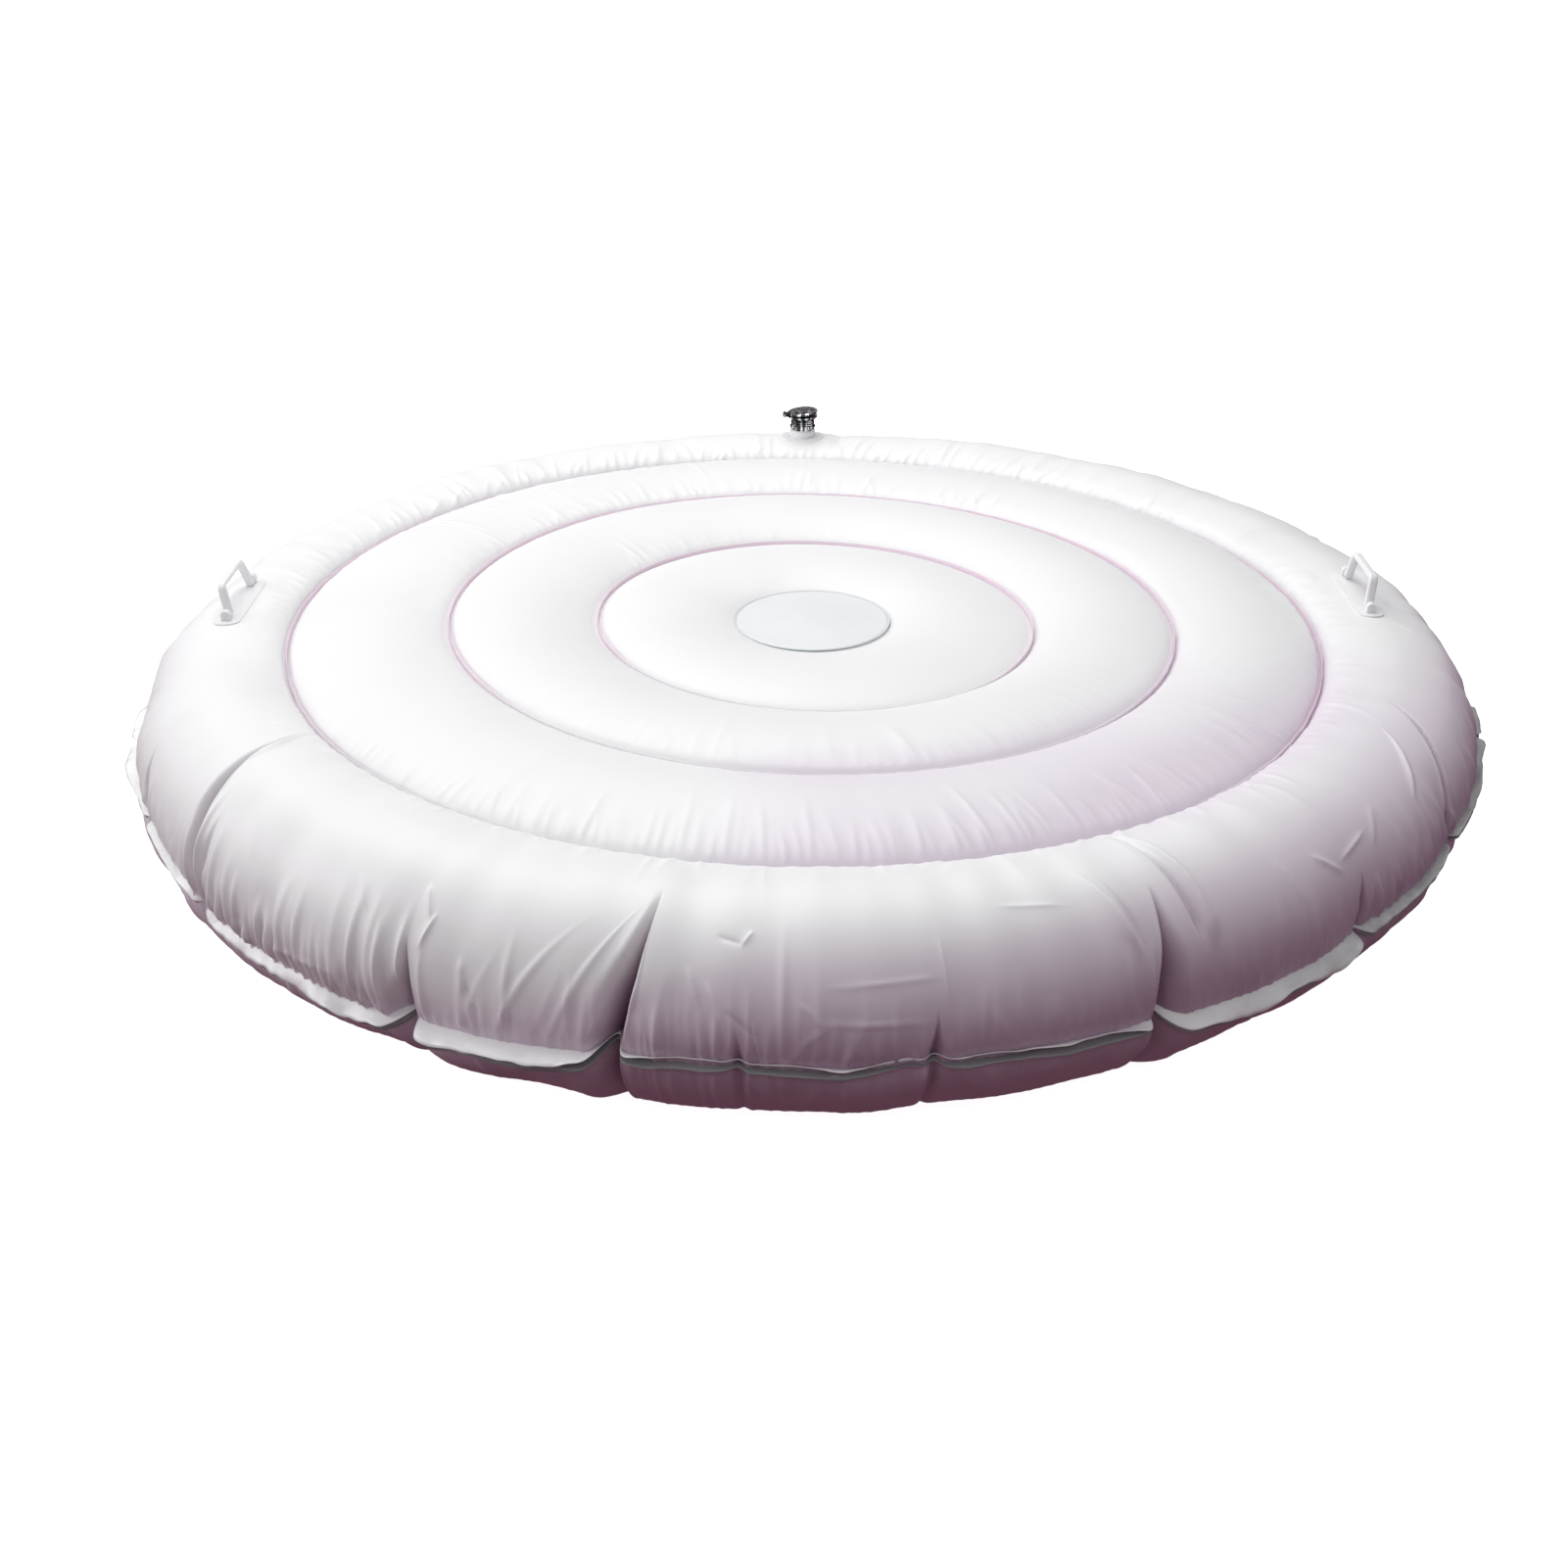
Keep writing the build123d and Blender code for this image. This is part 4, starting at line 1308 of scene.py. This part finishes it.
@dataclass
class SeamTapes:
    """Narrow pale pink tapes over the three outer ring welds."""

    film: Film
    width: float = 8.0
    thickness: float = 0.7
    edge_radius: float = 0.25
    spacing: float = 2.6
    sink: float = 2.2
    lift: float = 0.6                    # middle of a tape above its weld
    sunk: tuple[float, ...] = (0.0, 66.0, 58.0, 44.0)    # degrees each side of the front where it lies deep
    easing: float = 14.0                 # degrees over which it sinks

    def build(self) -> list[bpy.types.Object]:
        """Lays the three tapes."""
        strips = StripTree(Look.TAPE)
        made = []
        for ring, (name, radius, _) in enumerate(self.film.rings):
            if name == "centre":
                continue
            count = int(2 * math.pi * radius / self.spacing)
            bearings = np.arange(count) * 360.0 / count
            outwards, upwards = self.film.weld_sway(ring, bearings)
            from_front = np.abs(turn_between(bearings, -90.0))
            deep = smoothstep(from_front, self.sunk[ring], self.sunk[ring] - self.easing)
            upwards = upwards - self.sink * deep
            angle = np.radians(bearings)
            reach = radius + outwards
            line = np.stack((reach * np.cos(angle), reach * np.sin(angle),
                             self.film.level(ring, 1) + self.lift + upwards), -1)
            sizes = {"Width": self.width, "Thickness": self.thickness, "Edge Radius": self.edge_radius}
            piece = strips.lay(f"{name}_tape", line, sizes)
            ride_as(piece, CUSHION, "tape_pink", f"{name}_seam_tape")
            made.append(piece)
        return made


@dataclass
class CentrePatch:
    """Cool white disc welded over the middle, with a teal-grey bead round it."""

    film: Film
    columns: int = 240
    rows: int = 22
    dome: float = 3.2
    thickness: float = 0.8
    lift: float = 0.7                    # underside of the disc above the weld
    bead_width: float = 2.0
    bead_thickness: float = 1.4
    bead_radius: float = 0.5
    bead_lift: float = 0.5

    def build(self) -> list[bpy.types.Object]:
        """Builds the disc and its bead."""
        radius = self.film.rings[0][1]
        level = self.film.level(0, 1) + self.lift
        shift = self.film.drift[0][0]
        angle = np.radians(np.arange(self.columns) * 360.0 / self.columns)
        shares = (np.arange(self.rows) + 1) / self.rows
        rings = []
        for side in (1, 0):
            block = []
            for s in shares:
                height = level + self.dome * (1 - s**2) ** 2 + side * self.thickness
                block.append(np.stack((shift + radius * s * np.cos(angle), radius * s * np.sin(angle),
                                       np.full_like(angle, height)), -1))
            rings += block if side else block[::-1]
        poles = [(shift, 0.0, level + self.dome + self.thickness), (shift, 0.0, level + self.dome)]
        vertices = np.concatenate((np.concatenate(rings), np.array(poles)))
        disc = object_from("patch_disc", vertices, disc_faces(2 * self.rows, self.columns), Look.PATCH)
        ride_as(disc, CUSHION, "patch_film", "centre_patch")
        line = np.stack((shift + radius * np.cos(angle), radius * np.sin(angle),
                         np.full_like(angle, level + self.bead_lift)), -1)
        sizes = {"Width": self.bead_width, "Thickness": self.bead_thickness, "Edge Radius": self.bead_radius}
        bead = StripTree(Look.PATCH_EDGE).lay("patch_edge", line, sizes)
        ride_as(bead, CUSHION, "patch_film", "centre_patch")
        return [disc, bead]


# ---------------------------------------------------------------- fittings and stage


@dataclass
class Fittings:
    """Moulded and metal pieces that keep their shape from the frame."""

    record: dict[str, Any] = field(default_factory=lambda: frame["record"])

    def slots(self) -> dict[str, str]:
        """Material slot of each CAD node."""
        return {entry["node"]: entry["material_slot"] for entry in self.record["subparts"]}

    def dress(self) -> list[str]:
        """Gives every shown CAD node its finish.

        Returns:
            The names of the nodes.
        """
        slots, dressed = self.slots(), []
        for name, piece in frame["nodes"].items():
            look = SLOT_LOOKS[slots[name]]
            piece.data.materials.clear()
            piece.data.materials.append(look.value.material())
            if not piece.hide_render:
                dressed.append(name)
        return dressed


@dataclass(frozen=True)
class Lamp:
    """A rectangular soft light aimed at the cushion: place and size in metres, power in watts."""

    name: str
    place: tuple[float, float, float]
    size: Point
    power: float

    def hang(self, aim: Vector) -> None:
        """Hangs the light, turned towards a point."""
        light = bpy.data.lights.new(self.name, "AREA")
        light.shape = "RECTANGLE"
        light.size, light.size_y = self.size
        light.energy = self.power
        holder = bpy.data.objects.new(self.name, light)
        bpy.context.scene.collection.objects.link(holder)
        holder.location = self.place
        holder.rotation_euler = (aim - Vector(self.place)).to_track_quat("-Z", "Y").to_euler()


@dataclass
class Studio:
    """Pale floor, soft lights and the camera."""

    lamps: tuple[Lamp, ...] = (
        Lamp("key_light", (-0.7, 1.2, 3.1), (3.0, 2.6), 74.0),
        Lamp("side_light", (-3.4, -0.5, 1.4), (2.4, 1.6), 38.0),
        Lamp("glint_light", (0.5, -2.6, 2.3), (0.2, 0.2), 1.6))
    aim: tuple[float, float, float] = (0.0, 0.0, 0.12)
    eye: tuple[float, float, float] = (0.0, -2.074, 1.045)
    pitch: float = 27.23
    yaw: float = 0.56
    lens: float = 44.9
    floor_size: float = 40.0
    floor_drop: float = -0.001
    sensor: float = 36.0
    sky: tuple[tuple[float, Colour], ...] = (
        (0.0, (0.16, 0.070, 0.105)), (0.46, (0.15, 0.068, 0.10)), (0.55, (0.27, 0.235, 0.27)),
        (0.75, (0.46, 0.46, 0.465)), (1.0, (0.52, 0.52, 0.52)))

    def floor(self) -> bpy.types.Object:
        """Plain pale floor under the cushion."""
        half = self.floor_size / 2
        mesh = bpy.data.meshes.new("floor")
        corners = [(x * half, y * half, self.floor_drop) for x, y in ((-1, -1), (1, -1), (1, 1), (-1, 1))]
        mesh.from_pydata(corners, [], [(0, 1, 2, 3)])
        material = bpy.data.materials.new("floor_pale")
        material.use_nodes = True
        material.node_tree.nodes.clear()
        board = Board(material.node_tree)
        shader = board.node("ShaderNodeBsdfPrincipled", {}, {
            "Base Color": (0.95, 0.95, 0.95, 1.0), "Roughness": 0.9, "Specular IOR Level": 0.0,
            "Emission Color": (1.0, 1.0, 1.0, 1.0), "Emission Strength": 0.9})
        board.node("ShaderNodeOutputMaterial", {}, {"Surface": shader.outputs[0]})
        mesh.materials.append(material)
        floor = bpy.data.objects.new("floor", mesh)
        bpy.context.scene.collection.objects.link(floor)
        floor.visible_diffuse = False
        floor.visible_glossy = False
        return floor

    def surroundings(self) -> None:
        """Soft light from all round: pale above, mauve from below."""
        world = bpy.data.worlds.new("studio")
        bpy.context.scene.world = world
        world.use_nodes = True
        world.node_tree.nodes.clear()
        board = Board(world.node_tree)
        where = board.node("ShaderNodeTexCoord").outputs["Generated"]
        height = Wire(board, board.node("ShaderNodeSeparateXYZ", {}, {0: where}).outputs[2])
        sky = board.node("ShaderNodeValToRGB", {"stops": self.sky}, {0: 0.5 * height + 0.5})
        light = board.node("ShaderNodeBackground", {}, {0: sky.outputs[0], 1: 1.0})
        board.node("ShaderNodeOutputWorld", {}, {0: light.outputs[0]})

    def camera(self) -> None:
        """The camera in front of the cushion."""
        data = bpy.data.cameras.new("camera")
        data.lens, data.sensor_width = self.lens, self.sensor
        data.clip_start, data.clip_end = 0.01, 100.0
        camera = bpy.data.objects.new("camera", data)
        bpy.context.scene.collection.objects.link(camera)
        camera.location = self.eye
        camera.rotation_euler = (math.radians(90.0 - self.pitch), 0.0, math.radians(self.yaw))
        bpy.context.scene.camera = camera

    def build(self) -> None:
        """Sets up the stage."""
        bpy.context.scene.view_settings.view_transform = "Standard"
        self.floor()
        self.surroundings()
        for lamp in self.lamps:
            lamp.hang(Vector(self.aim))
        self.camera()


def main() -> None:
    """Builds the cushion piece by piece."""
    logging.basicConfig(level=logging.INFO, format="%(name)s: %(message)s")
    film = Film()
    CentreChamber(film).build()
    log.info("centre chamber")
    front, back = (-86.0, 130.0), (90.0, 170.0)
    pillows = (
        PillowChamber("inner_chamber", film, 0, 14.0, 540, 44, (), swell=0.4, seed=101),
        PillowChamber("middle_chamber", film, 1, 19.0, 1080, 60, (
            Wrinkles(200, 0.45, 4.6, 1.0, 0.34, seed=4, drift=1.2, lean=-0.8,
                     sectors=((*front, 1.0), (*back, 0.5), (0.0, 360.0, 0.25))),
            Wrinkles(140, 0.4, 4.8, 0.0, 0.20, seed=5, drift=1.2,
                     sectors=((*back, 1.0), (0.0, 360.0, 0.25)))),
            swell=0.7, seed=102),
        PillowChamber("outer_chamber", film, 2, 22.0, 1680, 76, (
            Wrinkles(300, 0.95, 4.0, 1.0, 0.40, seed=6, drift=0.8, lean=-0.7,
                     sectors=((*front, 1.0), (*back, 0.6), (0.0, 360.0, 0.35))),
            Wrinkles(210, 0.7, 4.6, 0.0, 0.25, seed=8, drift=1.2,
                     sectors=((*back, 1.0), (-86.0, 90.0, 0.4), (0.0, 360.0, 0.3)))), swell=0.9, seed=103),
    )
    for pillow in pillows:
        pillow.build()
        log.info("%s", pillow.name)
    bearings = Columns(TUBE_COLUMNS).bearings()
    _, rim_line = TubeChamber(film, bearings).build()
    log.info("tube chamber, %d columns", len(bearings))
    for side in RimSide:
        piece = WeldedRim(side, bearings, rim_line).build()
        log.info("%s", piece.name)
    for piece in SeamTapes(film).build() + CentrePatch(film).build():
        log.info("%s", piece.name)
    log.info("dressed %s", ", ".join(Fittings().dress()))
    Studio().build()


if __name__ == "__main__":
    main()
